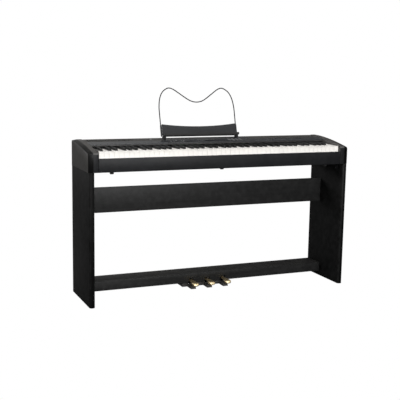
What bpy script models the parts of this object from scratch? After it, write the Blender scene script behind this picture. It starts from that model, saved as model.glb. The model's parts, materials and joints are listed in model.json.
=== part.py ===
"""A digital piano on a panel stand, in metres, +Z up, with the player at -Y.

The origin is on the floor, in the middle of the whole object. Three empties carry the work: the stand,
the case (its local Y runs back from the case's front and its local Z up from its underside) and the
pedal unit. Two more, tilted ones hold the controls and the music rest.
"""

import math

import bmesh
import bpy
from mathutils import Euler

# ---------------------------------------------------------------- driving dimensions
TOUCH = 0.0003  # the gap between pieces that rest on each other

STAND_WIDTH = 1.3187
STAND_DEPTH = 0.305
PANEL_THICKNESS = 0.0255
BOARD_THICKNESS = 0.015

CASE_WIDTH = 1.3236
CASE_DEPTH = 0.297
CASE_BOTTOM = 0.6114
CASE_SETBACK = 0.001
CASE_REAR_HEIGHT = 0.122
CASE_FALL = 0.0365  # how much lower the top is at its front edge
BLOCK_THICKNESS = 0.046
BLOCK_CHAMFER = 0.022
BLOCK_SET_BACK = 0.009  # how far the outer side stands behind the front
BLOCK_DROP = 0.004  # how far the top falls towards its outer edge
SHELL = 0.003

WHITE_KEYS = 52
KEY_PITCH = 0.0235
KEY_GAP = 0.001
KEY_TOP = 0.0886  # above the case's underside
KEY_PIVOT_BACK = 0.232
KEY_PIVOT_UP = 0.080

RAIL_FRONT = 0.183  # from the stand's front to the lower rail's
RAIL_DEPTH = 0.112
CROSS_PANEL_FRONT = 0.203
CROSS_PANEL_LOW = 0.3955
CROSS_PANEL_HIGH = 0.515

REST_BACK = 0.270  # from the stand's front to the foot of the music rest
REST_X = -0.026
REST_LEAN = math.radians(16)
REST_WIRE_RADIUS = 0.0024
REST_WIRE_HEIGHT = 0.231

OVERALL_DEPTH = (
    REST_BACK + REST_WIRE_HEIGHT * math.tan(REST_LEAN) + REST_WIRE_RADIUS / math.cos(REST_LEAN)
)
FRONT = -OVERALL_DEPTH / 2

# ---------------------------------------------------------------- materials
COLOURS = {  # base colour, roughness, metallic
    "stand_laminate": ((0.012, 0.012, 0.013), 0.55, 0.0),
    "case_black": ((0.020, 0.019, 0.019), 0.45, 0.0),
    "panel_gloss": ((0.016, 0.018, 0.021), 0.25, 0.0),
    "ivory_white": ((0.86, 0.84, 0.80), 0.30, 0.0),
    "key_black": ((0.010, 0.010, 0.011), 0.40, 0.0),
    "chassis_grey": ((0.10, 0.10, 0.10), 0.60, 0.0),
    "felt": ((0.16, 0.02, 0.02), 0.95, 0.0),
    "board_green": ((0.01, 0.09, 0.04), 0.50, 0.0),
    "rubber": ((0.015, 0.015, 0.015), 0.85, 0.0),
    "spring_steel": ((0.55, 0.55, 0.57), 0.30, 1.0),
    "wire_grey": ((0.06, 0.06, 0.065), 0.40, 1.0),
    "brass": ((0.80, 0.58, 0.22), 0.22, 1.0),
    "button_grey": ((0.35, 0.35, 0.36), 0.45, 0.0),
    "display": ((0.005, 0.008, 0.010), 0.10, 0.0),
    "speaker_paper": ((0.03, 0.03, 0.03), 0.90, 0.0),
}


def material(name):
    found = bpy.data.materials.get(name)
    if found:
        return found
    colour, roughness, metallic = COLOURS[name]
    made = bpy.data.materials.new(name)
    made.use_nodes = True
    shader = made.node_tree.nodes["Principled BSDF"]
    shader.inputs["Base Color"].default_value = (*colour, 1.0)
    shader.inputs["Roughness"].default_value = roughness
    shader.inputs["Metallic"].default_value = metallic
    made.diffuse_color = (*colour, 1.0)
    return made


# ---------------------------------------------------------------- scene helpers
def clear_scene():
    for old in list(bpy.data.objects):
        bpy.data.objects.remove(old, do_unlink=True)


def collection(name):
    made = bpy.data.collections.new(name)
    bpy.context.scene.collection.children.link(made)
    return made


def place(obj, finish, parent, location=(0, 0, 0), rotation=(0, 0, 0)):
    """Puts an object in the piano's collection, on its parent, in its material."""
    PIANO.objects.link(obj)
    obj.parent = parent
    obj.location = location
    obj.rotation_euler = rotation
    if obj.data.materials:
        obj.data.materials[0] = material(finish)
    else:
        obj.data.materials.append(material(finish))
    return obj


def empty(name, parent=None, location=(0, 0, 0), rotation=(0, 0, 0)):
    made = bpy.data.objects.new(name, None)
    PIANO.objects.link(made)
    made.parent = parent
    made.location = location
    made.rotation_euler = rotation
    return made


def mesh_object(name, bm, smooth_angle=None):
    """An object from a bmesh, which is freed. Round pieces are shaded smooth below the angle."""
    bmesh.ops.recalc_face_normals(bm, faces=bm.faces)
    data = bpy.data.meshes.new(name)
    bm.to_mesh(data)
    bm.free()
    if smooth_angle:
        data.shade_smooth()
        data.set_sharp_from_angle(angle=smooth_angle)
    return bpy.data.objects.new(name, data)


def add_box(bm, low, high):
    """Adds a box between two corners and returns its faces."""
    size = [h - l for l, h in zip(low, high)]
    middle = [(h + l) / 2 for l, h in zip(low, high)]
    made = bmesh.ops.create_cube(bm, size=1.0)["verts"]
    bmesh.ops.scale(bm, vec=size, verts=made)
    bmesh.ops.translate(bm, vec=middle, verts=made)
    return {face for vert in made for face in vert.link_faces}


def boxes(name, corners):
    """One object of separate boxes, each given as (low, high)."""
    bm = bmesh.new()
    for low, high in corners:
        add_box(bm, low, high)
    return mesh_object(name, bm)


def add_cylinder(bm, radius, length, centre, axis="Z", sides=16, tip_radius=None):
    """Adds a closed cylinder or cone, along an axis, about its centre."""
    made = bmesh.ops.create_cone(
        bm,
        cap_ends=True,
        segments=sides,
        radius1=radius,
        radius2=radius if tip_radius is None else tip_radius,
        depth=length,
    )["verts"]
    turn = {"X": (0, math.pi / 2, 0), "Y": (math.pi / 2, 0, 0), "Z": (0, 0, 0)}[axis]
    bmesh.ops.rotate(bm, cent=(0, 0, 0), matrix=Euler(turn).to_matrix(), verts=made)
    bmesh.ops.translate(bm, vec=centre, verts=made)
    return made


def bevelled(obj, width, segments=1):
    """Rounds the sharp edges."""
    bevel = obj.modifiers.new("rounding", "BEVEL")
    bevel.width = width
    bevel.segments = segments
    bevel.limit_method = "ANGLE"
    bevel.angle_limit = math.radians(40)
    return obj


def outline_mesh(name, points, thickness):
    """A flat outline in XY, filled and extruded half its thickness to each side, as a mesh."""
    data = bpy.data.curves.new(name, "CURVE")
    data.dimensions = "2D"
    data.fill_mode = "BOTH"
    data.extrude = thickness / 2
    spline = data.splines.new("POLY")
    spline.points.add(len(points) - 1)
    for point, (x, y) in zip(spline.points, points):
        point.co = (x, y, 0, 1)
    spline.use_cyclic_u = True
    curve = bpy.data.objects.new(name, data)
    return mesh_from_curve(curve)


def mesh_from_curve(curve):
    """The curve's solid as a mesh object with welded caps. The curve is removed."""
    scene = bpy.context.scene.collection
    scene.objects.link(curve)
    graph = bpy.context.evaluated_depsgraph_get()
    mesh = bpy.data.meshes.new_from_object(curve.evaluated_get(graph))
    bm = bmesh.new()
    bm.from_mesh(mesh)
    bmesh.ops.remove_doubles(bm, verts=bm.verts, dist=1e-6)
    bmesh.ops.recalc_face_normals(bm, faces=bm.faces)
    bm.to_mesh(mesh)
    bm.free()
    name = curve.name
    bpy.data.objects.remove(curve)
    mesh.name = name
    return bpy.data.objects.new(name, mesh)


def side_profile(name, outline, width):
    """An outline in (back, up), extruded along X about the middle."""
    made = outline_mesh(name, outline, width)
    bm = bmesh.new()
    bm.from_mesh(made.data)
    for vert in bm.verts:
        back, up, across = vert.co
        vert.co = (across, back, up)
    bmesh.ops.recalc_face_normals(bm, faces=bm.faces)
    bm.to_mesh(made.data)
    bm.free()
    return made


def shell_profile(name, line, width, side):
    """A sheet drawn out along X from a line in (back, up). Its wall is inside the line, or outside."""
    bm = bmesh.new()
    verts = [bm.verts.new((-width / 2, back, up)) for back, up in line]
    edges = [bm.edges.new(pair) for pair in zip(verts, verts[1:])]
    drawn = bmesh.ops.extrude_edge_only(bm, edges=edges)["geom"]
    far = [item for item in drawn if isinstance(item, bmesh.types.BMVert)]
    bmesh.ops.translate(bm, vec=(width, 0, 0), verts=far)
    data = bpy.data.meshes.new(name)
    bm.to_mesh(data)
    bm.free()
    made = bpy.data.objects.new(name, data)
    wall = made.modifiers.new("wall", "SOLIDIFY")
    wall.thickness = SHELL
    wall.offset = {"inside": -1.0, "outside": 1.0}[side]
    wall.use_even_offset = True
    return made


def cutter(name, bm, parent, location=(0, 0, 0)):
    """A hidden helper that Booleans cut or join with."""
    return hidden(mesh_object(name, bm), parent, location)


def hidden(made, parent, location=(0, 0, 0)):
    CUTTERS.objects.link(made)
    made.parent = parent
    made.location = location
    made.hide_render = True
    made.display_type = "WIRE"
    return made


def cut(obj, tool, operation="DIFFERENCE"):
    """Cuts a helper's shape out of an object, or joins it on with operation UNION."""
    change = obj.modifiers.new(tool.name, "BOOLEAN")
    change.operation = operation
    change.solver = "EXACT"
    change.object = tool
    return obj


def join(obj, tool):
    return cut(obj, tool, "UNION")


# ---------------------------------------------------------------- the case's top line
def case_top(back):
    """Height of the end blocks' arched top, above the case's underside."""
    return CASE_REAR_HEIGHT - CASE_FALL * (1 - back / CASE_DEPTH) ** 1.6


DECK_FRONT = 0.165  # where the deck over the key tails begins
DECK_REAR = 0.290
DECK_UP = 0.1090
DECK_RISE = 0.0115
DECK_SLOPE = math.atan2(DECK_RISE, DECK_REAR - DECK_FRONT)


def deck_height(back):
    return DECK_UP + (back - DECK_FRONT) * math.tan(DECK_SLOPE)


# ---------------------------------------------------------------- stand
def side_panel(name, side):
    """A board whose front edge is rounded over, and which stands on its lower edge."""
    height = CASE_BOTTOM - TOUCH
    bm = bmesh.new()
    add_box(
        bm,
        (-PANEL_THICKNESS / 2, 0, 0),
        (PANEL_THICKNESS / 2, STAND_DEPTH, height),
    )
    front = [
        edge
        for edge in bm.edges
        if all(abs(vert.co.y) < 1e-6 for vert in edge.verts)
        and abs(edge.verts[0].co.z - edge.verts[1].co.z) > height / 2
    ]
    bmesh.ops.bevel(
        bm, geom=front, offset=0.0115, offset_type="OFFSET", segments=4, profile=0.5,
        affect="EDGES", material=-1,
    )
    x = side * (STAND_WIDTH - PANEL_THICKNESS) / 2
    panel = mesh_object(name, bm, math.radians(30))
    return place(panel, "stand_laminate", STAND, (x, 0, 0))


def inner_width():
    return STAND_WIDTH - 2 * PANEL_THICKNESS - 2 * TOUCH


def board(name, low, high):
    return place(bevelled(boxes(name, [(low, high)]), 0.0008), "stand_laminate", STAND)


def stand_boards():
    half = inner_width() / 2
    board(
        "cross_panel",
        (-half, CROSS_PANEL_FRONT, CROSS_PANEL_LOW),
        (half, CROSS_PANEL_FRONT + BOARD_THICKNESS, CROSS_PANEL_HIGH),
    )
    front = board(
        "rail_front_board",
        (-half, RAIL_FRONT, RAIL_LOW),
        (half, RAIL_FRONT + BOARD_THICKNESS, RAIL_HIGH),
    )
    board(
        "rail_top_board",
        (-half, RAIL_FRONT + BOARD_THICKNESS + TOUCH, RAIL_HIGH - BOARD_THICKNESS),
        (half, RAIL_FRONT + RAIL_DEPTH, RAIL_HIGH),
    )
    slots = bmesh.new()
    for x in PEDAL_XS:
        add_box(
            slots,
            (x - PEDAL_SLOT / 2, -0.02, RAIL_LOW - 0.01),
            (x + PEDAL_SLOT / 2, 0.04, PEDAL_SLOT_TOP),
        )
    cut(front, cutter("pedal_slots", slots, STAND, (PEDAL_UNIT_X, RAIL_FRONT, 0)))


# ---------------------------------------------------------------- case
def end_block(name, side):
    """The moulded end of the case: an arched top, with its outer front corner and outer top edge cut off."""
    steps = 9
    line = [(0.0, 0.0), (0.0, case_top(0) - 0.006)]
    for i in range(steps + 1):
        back = 0.006 + (CASE_DEPTH - 0.010) * i / steps
        line.append((back, case_top(back)))
    line += [(CASE_DEPTH, CASE_REAR_HEIGHT - 0.006), (CASE_DEPTH, 0.0)]
    shorter = 1 - BLOCK_SET_BACK / CASE_DEPTH
    cut_line = [(BLOCK_SET_BACK + back * shorter, up - (BLOCK_DROP if up else 0.0)) for back, up in line]
    half = BLOCK_THICKNESS / 2
    bm = bmesh.new()
    rings = []
    for across, outline in ((-half, line), (half - BLOCK_CHAMFER, line), (half, cut_line)):
        rings.append([bm.verts.new((side * across, back, up)) for back, up in outline])
    bm.faces.new(rings[0])
    bm.faces.new(rings[2])
    skin = []
    for near, far in zip(rings, rings[1:]):
        for i in range(len(line)):
            skin.append(bm.faces.new((near[i - 1], near[i], far[i], far[i - 1])))
    bmesh.ops.triangulate(bm, faces=skin[len(line) :])
    bmesh.ops.recalc_face_normals(bm, faces=bm.faces)
    block = mesh_object(name, bm)
    x = side * (CASE_WIDTH - BLOCK_THICKNESS) / 2
    return place(block, "case_black", CASE, (x, 0, 0))


def shell_width():
    return CASE_WIDTH - 2 * BLOCK_THICKNESS - 2 * TOUCH


def bottom_case():
    """The tray under the action, with an upstand at its rear."""
    line = [
        (CASE_DEPTH, BOTTOM_UPSTAND),
        (CASE_DEPTH, 0.0),
        (SLIP_THICKNESS + TOUCH, 0.0),
    ]
    tray = shell_profile("bottom_case", line, shell_width(), "inside")
    return place(tray, "case_black", CASE)


def top_case():
    """The deck over the key tails, with a lip in front and a rear wall, cut for what it carries."""
    line = [
        (DECK_FRONT, DECK_UP - 0.0085),
        (DECK_FRONT, DECK_UP - 0.002),
        (DECK_FRONT + 0.003, deck_height(DECK_FRONT + 0.003)),
        (DECK_REAR, deck_height(DECK_REAR)),
        (CASE_DEPTH - 0.002, CASE_REAR_HEIGHT - 0.004),
        (CASE_DEPTH, CASE_REAR_HEIGHT - 0.008),
        (CASE_DEPTH, BOTTOM_UPSTAND + TOUCH),
    ]
    deck = place(shell_profile("top_case", line, shell_width(), "inside"), "case_black", CASE)
    holes = bmesh.new()
    for low, high in control_holes(0.0004):
        add_box(holes, (low[0], low[1], -0.02), (high[0], high[1], 0.02))
    for side in (-1, 1):
        holes.from_mesh(grille_mesh("grille_hole", side, 0.0005, 0.04).data)
    cut(deck, cutter("deck_holes", holes, CONTROLS))
    others = bmesh.new()
    low, high = jack_panel_box()
    add_box(
        others,
        (low[0] - TOUCH, CASE_DEPTH - 0.02, low[2] - TOUCH),
        (high[0] + TOUCH, CASE_DEPTH + 0.02, high[2] + TOUCH),
    )
    add_peg_holes(others)
    return cut(deck, cutter("case_holes", others, CASE))


def key_slip():
    """The front rail, with its upper edge rounded over."""
    half = shell_width() / 2
    low, high = (-half, 0, 0), (half, SLIP_THICKNESS, SLIP_HEIGHT)
    slip = bevelled(boxes("key_slip", [(low, high)]), 0.002, 2)
    return place(slip, "case_black", CASE)


def case_feet():
    """Five round rubber feet, for when the case lies on a table."""
    for name, x, back in CASE_FEET:
        bm = bmesh.new()
        centre = (x, back, -TOUCH - FOOT_HEIGHT / 2)
        add_cylinder(bm, FOOT_RADIUS * 0.88, FOOT_HEIGHT, centre, tip_radius=FOOT_RADIUS)
        place(mesh_object(name, bm, math.radians(30)), "rubber", CASE)


def jack_panel_box():
    return (0.250, CASE_DEPTH - 0.014, 0.050), (0.390, CASE_DEPTH - 0.0005, 0.078)


def jack_panel():
    """The socket block in the rear wall: power, pedals and line out round, and a square data port."""
    low, high = jack_panel_box()
    panel = place(boxes("jack_panel", [(low, high)]), "panel_gloss", CASE)
    bores = bmesh.new()
    up = (low[2] + high[2]) / 2
    for x in JACK_XS:
        add_cylinder(bores, 0.0033, 0.020, (x, CASE_DEPTH, up), axis="Y", sides=12)
    add_box(bores, (PORT_X - 0.006, CASE_DEPTH - 0.010, up - 0.0055), (PORT_X + 0.006, CASE_DEPTH + 0.010, up + 0.0055))
    return cut(panel, cutter("jack_bores", bores, CASE))


# ---------------------------------------------------------------- action
def key_chassis():
    """The moulded bed that the keys sit on: a front upright, a floor and a rear pivot wall."""
    line = [
        (KEY_PIVOT_BACK + 0.0055, KEY_PIVOT_UP + 0.006),
        (KEY_PIVOT_BACK + 0.0055, 0.0065),
        (0.050, 0.0065),
        (0.050, 0.0560),
        (0.032, 0.0560),
    ]
    width = WHITE_KEYS * KEY_PITCH
    return place(shell_profile("key_chassis", line, width, "outside"), "chassis_grey", CASE)


def action_strips():
    """Felt under the key fronts, and the contact board with its rubber strip."""
    half = WHITE_KEYS * KEY_PITCH / 2
    felt = boxes("key_stop_felt", [((-half, 0.033, 0.0563), (half, 0.046, 0.0593))])
    place(felt, "felt", CASE)
    board_low, board_high = 0.0580, 0.0596
    contact = boxes("contact_board", [((-half, 0.120, board_low), (half, 0.160, board_high))])
    place(contact, "board_green", CASE)
    low, high = (-half, 0.128, board_high + TOUCH), (half, 0.150, board_high + TOUCH + 0.0055)
    place(boxes("rubber_contact_strip", [(low, high)]), "rubber", CASE)


def spring_comb():
    """One stamped leaf-spring comb, with a finger under every key's tail."""
    half = WHITE_KEYS * KEY_PITCH / 2
    lines, levels = (0.230, 0.226, 0.196), (0.0671, 0.0679)
    springs = comb("return_spring_comb", all_key_places(), (-half, half), lines, levels, 0.0025)
    return place(springs, "spring_steel", CASE)


BLACK_OFFSETS = {0: -0.003, 1: 0.003, 3: -0.004, 4: 0.0, 5: 0.004}  # after white C, D, F, G, A
BLACK_WIDTH = 0.0115
BLACK_CLEARANCE = 0.0011


def white_left(index):
    """Left edge of a white key, counted from the lowest A."""
    return (index - WHITE_KEYS / 2) * KEY_PITCH


def note_of(index):
    """The white key's place in its octave, C being 0."""
    return (index + 5) % 7


def black_after(index):
    """Centre of the black key above this white key, or None."""
    note = note_of(index)
    if note not in BLACK_OFFSETS or index == WHITE_KEYS - 1:
        return None
    return white_left(index + 1) + BLACK_OFFSETS[note]


def all_key_places():
    """The centre of the tail of each of the 88 keys."""
    blacks = [black_after(index) for index in range(WHITE_KEYS)]
    whites = [white_tail(index) for index in range(WHITE_KEYS)]
    return whites + [x for x in blacks if x is not None]


def tail_limits(index):
    """Left and right of a white key's narrow tail, between its black neighbours."""
    left = white_left(index) + KEY_GAP / 2
    right = left + KEY_PITCH - KEY_GAP
    keep = BLACK_WIDTH / 2 + BLACK_CLEARANCE
    if index and black_after(index - 1) is not None:
        left = black_after(index - 1) + keep
    if black_after(index) is not None:
        right = black_after(index) - keep
    return left, right


def white_tail(index):
    return sum(tail_limits(index)) / 2


KEY_FRONT = 0.0125
KEY_HEAD = 0.050
KEY_LIP = 0.006
KEY_BODY = 0.018
KEY_TAIL_END = 0.2282
BLACK_FRONT = 0.0635
BLACK_REAR = 0.1625
BLACK_TOP = 0.1010


def add_white_key(bm, index, pivot_x):
    """Adds one white key about the pivot: a head, a lip in front of it and a narrow tail."""
    piece = bmesh.new()
    left = white_left(index) + KEY_GAP / 2 - pivot_x
    right = left + KEY_PITCH - KEY_GAP
    tail = [limit - pivot_x for limit in tail_limits(index)]
    front = KEY_FRONT - KEY_PIVOT_BACK
    top = KEY_TOP - KEY_PIVOT_UP
    add_box(piece, (left, front, top - KEY_BODY), (right, front + KEY_HEAD, top))
    for x in tail:
        if left + 1e-5 < x < right - 1e-5:
            slice_at(piece, (x, 0, 0), (1, 0, 0))
    slice_at(piece, (0, front + KEY_LIP, 0), (0, 1, 0))
    back_faces = [
        face
        for face in piece.faces
        if face.normal.y > 0.5 and tail[0] < face.calc_center_median().x < tail[1]
    ]
    stretch(piece, back_faces, (0, KEY_TAIL_END - KEY_FRONT - KEY_HEAD, 0))
    lip_faces = [
        face
        for face in piece.faces
        if face.normal.z < -0.5 and face.calc_center_median().y < front + KEY_LIP
    ]
    stretch(piece, lip_faces, (0, 0, -0.0095))
    merge(bm, piece)


def add_black_key(bm, centre, pivot_x):
    """Adds one black key about the pivot: a tapered cap and a low tail under the deck."""
    piece = bmesh.new()
    x = centre - pivot_x
    front, rear = BLACK_FRONT - KEY_PIVOT_BACK, BLACK_REAR - KEY_PIVOT_BACK
    top, bottom = BLACK_TOP - KEY_PIVOT_UP, KEY_TOP - KEY_BODY - KEY_PIVOT_UP
    shoulder = KEY_TOP - 0.002 - KEY_PIVOT_UP
    half = BLACK_WIDTH / 2
    add_box(piece, (x - half, front, bottom), (x + half, rear, top))
    slice_at(piece, (0, 0, shoulder), (0, 0, 1))
    back_faces = [
        face
        for face in piece.faces
        if face.normal.y > 0.5 and face.calc_center_median().z < shoulder
    ]
    for vert in piece.verts:
        if vert.co.z > top - 1e-6:
            vert.co.x = x + (vert.co.x - x) * 0.84
            if vert.co.y < front + 1e-6:
                vert.co.y += 0.005
    stretch(piece, back_faces, (0, KEY_TAIL_END - BLACK_REAR, 0))
    merge(bm, piece)


def slice_at(bm, point, normal):
    geometry = bm.verts[:] + bm.edges[:] + bm.faces[:]
    bmesh.ops.bisect_plane(bm, geom=geometry, plane_co=point, plane_no=normal, dist=1e-7)
    bm.normal_update()


def stretch(bm, faces, vector):
    """Extrudes faces by a vector and leaves nothing inside."""
    drawn = bmesh.ops.extrude_face_region(bm, geom=faces)["geom"]
    verts = [item for item in drawn if isinstance(item, bmesh.types.BMVert)]
    bmesh.ops.translate(bm, vec=vector, verts=verts)
    bmesh.ops.delete(bm, geom=[f for f in faces if f.is_valid], context="FACES")
    bm.normal_update()


def comb(name, teeth, ends, lines, levels, half_tooth):
    """A strip from its back line to its root line, with a tooth on to the tip line at each place."""
    back, root, tip = lines
    bm = bmesh.new()
    add_box(bm, (ends[0], root, levels[0]), (ends[1], back, levels[1]))
    for x in teeth:
        slice_at(bm, (x - half_tooth, 0, 0), (1, 0, 0))
        slice_at(bm, (x + half_tooth, 0, 0), (1, 0, 0))
    roots = [
        face
        for face in bm.faces
        if face.normal.y < -0.5
        and any(abs(face.calc_center_median().x - x) < half_tooth / 2 for x in teeth)
    ]
    stretch(bm, roots, (0, tip - root, 0))
    return mesh_object(name, bm)


def merge(bm, piece):
    """Moves a finished piece into a larger bmesh."""
    bmesh.ops.recalc_face_normals(piece, faces=piece.faces)
    data = bpy.data.meshes.new("piece")
    piece.to_mesh(data)
    piece.free()
    bm.from_mesh(data)
    bpy.data.meshes.remove(data)


NOTE_NAMES = ["c4", "d4", "e4", "f4", "g4", "a4", "b4"]
SHARP_NAMES = {0: "c_sharp_4", 1: "d_sharp_4", 3: "f_sharp_4", 4: "g_sharp_4", 5: "a_sharp_4"}
FIRST_MIDDLE = 23  # the white key index of middle C


STRIP_THICKNESS = 0.003
STRIP_LINES = (0.2360, 0.2295, KEY_TAIL_END - 0.0007)
WHITE_STRIP_UP = 0.0712
BLACK_STRIP_UP = 0.0762


def key_strip(name, spots, up):
    """The strip behind the tails that a register's keys of one colour are moulded on."""
    lines = [back - KEY_PIVOT_BACK for back in STRIP_LINES]
    ends = (min(spots) - 0.004, max(spots) + 0.004)
    levels = (up - KEY_PIVOT_UP, up - KEY_PIVOT_UP + STRIP_THICKNESS)
    strip = comb(name + "_strip", spots, ends, lines, levels, 0.002)
    return hidden(strip, CASE, (0, KEY_PIVOT_BACK, KEY_PIVOT_UP))


def key_register(name, whites, blacks):
    """One colour of a register's keys on their strip."""
    keys = key_object(name, whites, blacks, 0)
    if whites:
        spots, up = [white_tail(index) for index in whites], WHITE_STRIP_UP
    else:
        spots, up = [black_after(index) for index in blacks], BLACK_STRIP_UP
    return join(keys, key_strip(name, spots, up))


def key_object(name, whites, blacks, pivot_x):
    """A node of one or more keys of one colour, with its origin on the pivot line."""
    bm = bmesh.new()
    for index in whites:
        add_white_key(bm, index, pivot_x)
    for index in blacks:
        add_black_key(bm, black_after(index), pivot_x)
    finish = "ivory_white" if whites else "key_black"
    made = mesh_object(name, bm)
    return place(made, finish, CASE, (pivot_x, KEY_PIVOT_BACK, KEY_PIVOT_UP))


def keyboard():
    """The middle octave key by key, and the registers on each side of it as blocks."""
    last_middle = FIRST_MIDDLE + 7
    for note, name in enumerate(NOTE_NAMES):
        index = FIRST_MIDDLE + note
        key_object("key_" + name, [index], [], white_tail(index))
        if note in SHARP_NAMES:
            key_object("key_" + SHARP_NAMES[note], [], [index], black_after(index))
    bass, treble = range(FIRST_MIDDLE), range(last_middle, WHITE_KEYS)
    for name, register in (("bass", bass), ("treble", treble)):
        key_register(name + "_white_keys", list(register), [])
        sharps = [index for index in register if black_after(index) is not None]
        key_register(name + "_black_keys", [], sharps)


# ---------------------------------------------------------------- electronics
def circuit_boards():
    main = boxes("main_board", [((-0.28, 0.2425, 0.014), (0.06, 0.2800, 0.0156))])
    place(main, "board_green", CASE)
    panel = outline_mesh("panel_board", PANEL_BOARD, 0.0016)
    place(panel, "board_green", CONTROLS, (0, 0, -0.0132))


def speaker(name, side):
    """A small full-range driver: magnet, basket and a shallow cone, turned about its axis."""
    rim, throat, magnet, top = 0.0245, 0.011, 0.016, 0.0
    line = [
        (0.0, top - 0.008), (throat, top - 0.008), (rim - 0.004, top - 0.001), (rim, top - 0.001),
        (rim, top - 0.004), (magnet, top - 0.018), (magnet, top - 0.030), (0.0, top - 0.030),
    ]
    bm = bmesh.new()
    verts = [bm.verts.new((radius, 0, up)) for radius, up in line]
    for pair in zip(verts, verts[1:]):
        bm.edges.new(pair)
    data = bpy.data.meshes.new(name)
    bm.to_mesh(data)
    bm.free()
    data.shade_smooth()
    made = bpy.data.objects.new(name, data)
    turn = made.modifiers.new("turned", "SCREW")
    turn.axis = "Z"
    turn.steps = turn.render_steps = 20
    turn.use_merge_vertices = True
    turn.merge_threshold = 0.00005
    turn.use_normal_calculate = True
    place(made, "speaker_paper", CASE, (side * SPEAKER_X, 0.2645, SPEAKER_UP))


# ---------------------------------------------------------------- controls, on the tilted deck
def grille_mesh(name, side, grow, thickness):
    """The long speaker opening, which tapers to a point towards the middle."""
    outer, shoulder, tip = 0.598 + grow, 0.420, 0.368 - grow * 2
    low, high = 0.072 - grow, 0.118 + grow
    points = [(side * outer, low), (side * shoulder, low)]
    steps = 6
    for i in range(1, steps + 1):
        angle = math.pi / 2 * i / steps
        points.append((side * (shoulder - (shoulder - tip) * math.sin(angle)), high - (high - low) * math.cos(angle)))
    points.append((side * outer, high))
    return outline_mesh(name, points, thickness)


def speaker_grille(name, side):
    """The insert that fills one of the deck's long openings."""
    grille = grille_mesh(name, side, 0, 0.002)
    return place(grille, "speaker_paper", CONTROLS, (0, 0, 0.0004))


BUTTON_WIDTH = 0.0105
BUTTON_DEPTH = 0.0060
BUTTON_RISE = 0.0022
BUTTON_WEB = -0.0110
PLATE = 0.0012
BUTTON_PITCH = 0.0195
PANEL_LOW, PANEL_HIGH = (-0.225, 0.008), (0.225, 0.117)
VOICE_BUTTONS = [(-0.184 + BUTTON_PITCH * i, 0.098) for i in range(6)]
FUNCTION_BUTTONS = [(0.104 + BUTTON_PITCH * i, row) for i in range(4) for row in (0.028, 0.046)]
SLIDER_X = -0.293
SLIDER_LOW, SLIDER_HIGH = 0.056, 0.108
POWER = (0.203, 0.056)
POWER_RADIUS = 0.0055
DISPLAY = ((-0.060, 0.028), (0.030, 0.062))
# The board under the panel, cut away at its rear corners for the music rest's pegs.
PANEL_BOARD = [
    (-0.215, 0.012), (0.215, 0.012), (0.215, 0.072), (0.142, 0.072),
    (0.142, 0.112), (-0.194, 0.112), (-0.194, 0.072), (-0.215, 0.072),
]


def control_holes(grow):
    """Boxes, as (low, high) in the deck's plane, for the buttons, the slider and the power button."""
    half, deep = BUTTON_WIDTH / 2 + grow, BUTTON_DEPTH / 2 + grow
    holes = [((x - half, y - deep), (x + half, y + deep)) for x, y in VOICE_BUTTONS + FUNCTION_BUTTONS]
    holes.append(((SLIDER_X - 0.0016, SLIDER_LOW), (SLIDER_X + 0.0016, SLIDER_HIGH)))
    reach = POWER_RADIUS + grow
    x, y = POWER
    holes.append(((x - reach, y - reach), (x + reach, y + reach)))
    return holes


def control_panel():
    """The glossy overlay on the middle of the deck, which the controls come up through."""
    low, high = (*PANEL_LOW, TOUCH), (*PANEL_HIGH, TOUCH + PLATE)
    plate = place(boxes("control_panel", [(low, high)]), "panel_gloss", CONTROLS)
    holes = bmesh.new()
    for (x0, y0), (x1, y1) in control_holes(0.0004):
        add_box(holes, (x0, y0, -0.005), (x1, y1, 0.01))
    (x0, y0), (x1, y1) = DISPLAY
    add_box(holes, (x0 - TOUCH, y0 - TOUCH, -0.005), (x1 + TOUCH, y1 + TOUCH, 0.01))
    cut(plate, cutter("panel_holes", holes, CONTROLS))
    pegs = bmesh.new()
    add_peg_holes(pegs)
    cut(plate, cutter("panel_peg_holes", pegs, CASE))
    window = boxes("display_window", [((x0, y0, TOUCH), (x1, y1, TOUCH + PLATE + 0.0003))])
    place(window, "display", CONTROLS)


def button_object(name, spots, finish="button_grey"):
    """Push buttons that stand proud of the panel, moulded in one piece with a web under the deck."""
    bm = bmesh.new()
    half, deep = BUTTON_WIDTH / 2, BUTTON_DEPTH / 2
    for x, y in spots:
        low = (x - half, y - deep, BUTTON_WEB + 0.0005)
        add_box(bm, low, (x + half, y + deep, TOUCH + PLATE + BUTTON_RISE))
    buttons = place(bevelled(mesh_object(name, bm), 0.0005), finish, CONTROLS)
    web = bmesh.new()
    xs, ys = [x for x, _ in spots], [y for _, y in spots]
    low = (min(xs) - half - 0.001, min(ys) - deep - 0.001, BUTTON_WEB)
    add_box(web, low, (max(xs) + half + 0.001, max(ys) + deep + 0.001, BUTTON_WEB + 0.0015))
    return join(buttons, cutter(name + "_web", web, CONTROLS))


def controls():
    control_panel()
    button_object("voice_buttons", VOICE_BUTTONS)
    button_object("function_buttons", FUNCTION_BUTTONS)
    bm = bmesh.new()
    add_cylinder(bm, POWER_RADIUS, 0.0105, (0, 0, -0.0030), sides=20)
    power = mesh_object("power_button", bm, math.radians(30))
    place(power, "button_grey", CONTROLS, (*POWER, 0))


def volume_slider():
    """A cap on a thin stem that runs in the deck's slot: a T section, as deep as the cap."""
    cap, stem, depth = 0.0055, 0.0010, 0.0070
    under = 0.0006
    outline = [
        (stem, -0.008), (stem, under), (cap, under), (cap, under + 0.0055),
        (-cap, under + 0.0055), (-cap, under), (-stem, under), (-stem, -0.008),
    ]
    slider = outline_mesh("volume_slider", outline, depth)
    turned = Euler((math.pi / 2, 0, 0)).to_matrix().to_4x4()
    slider.data.transform(turned)
    place(slider, "button_grey", CONTROLS, (SLIDER_X, SLIDER_REST, 0))


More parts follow.
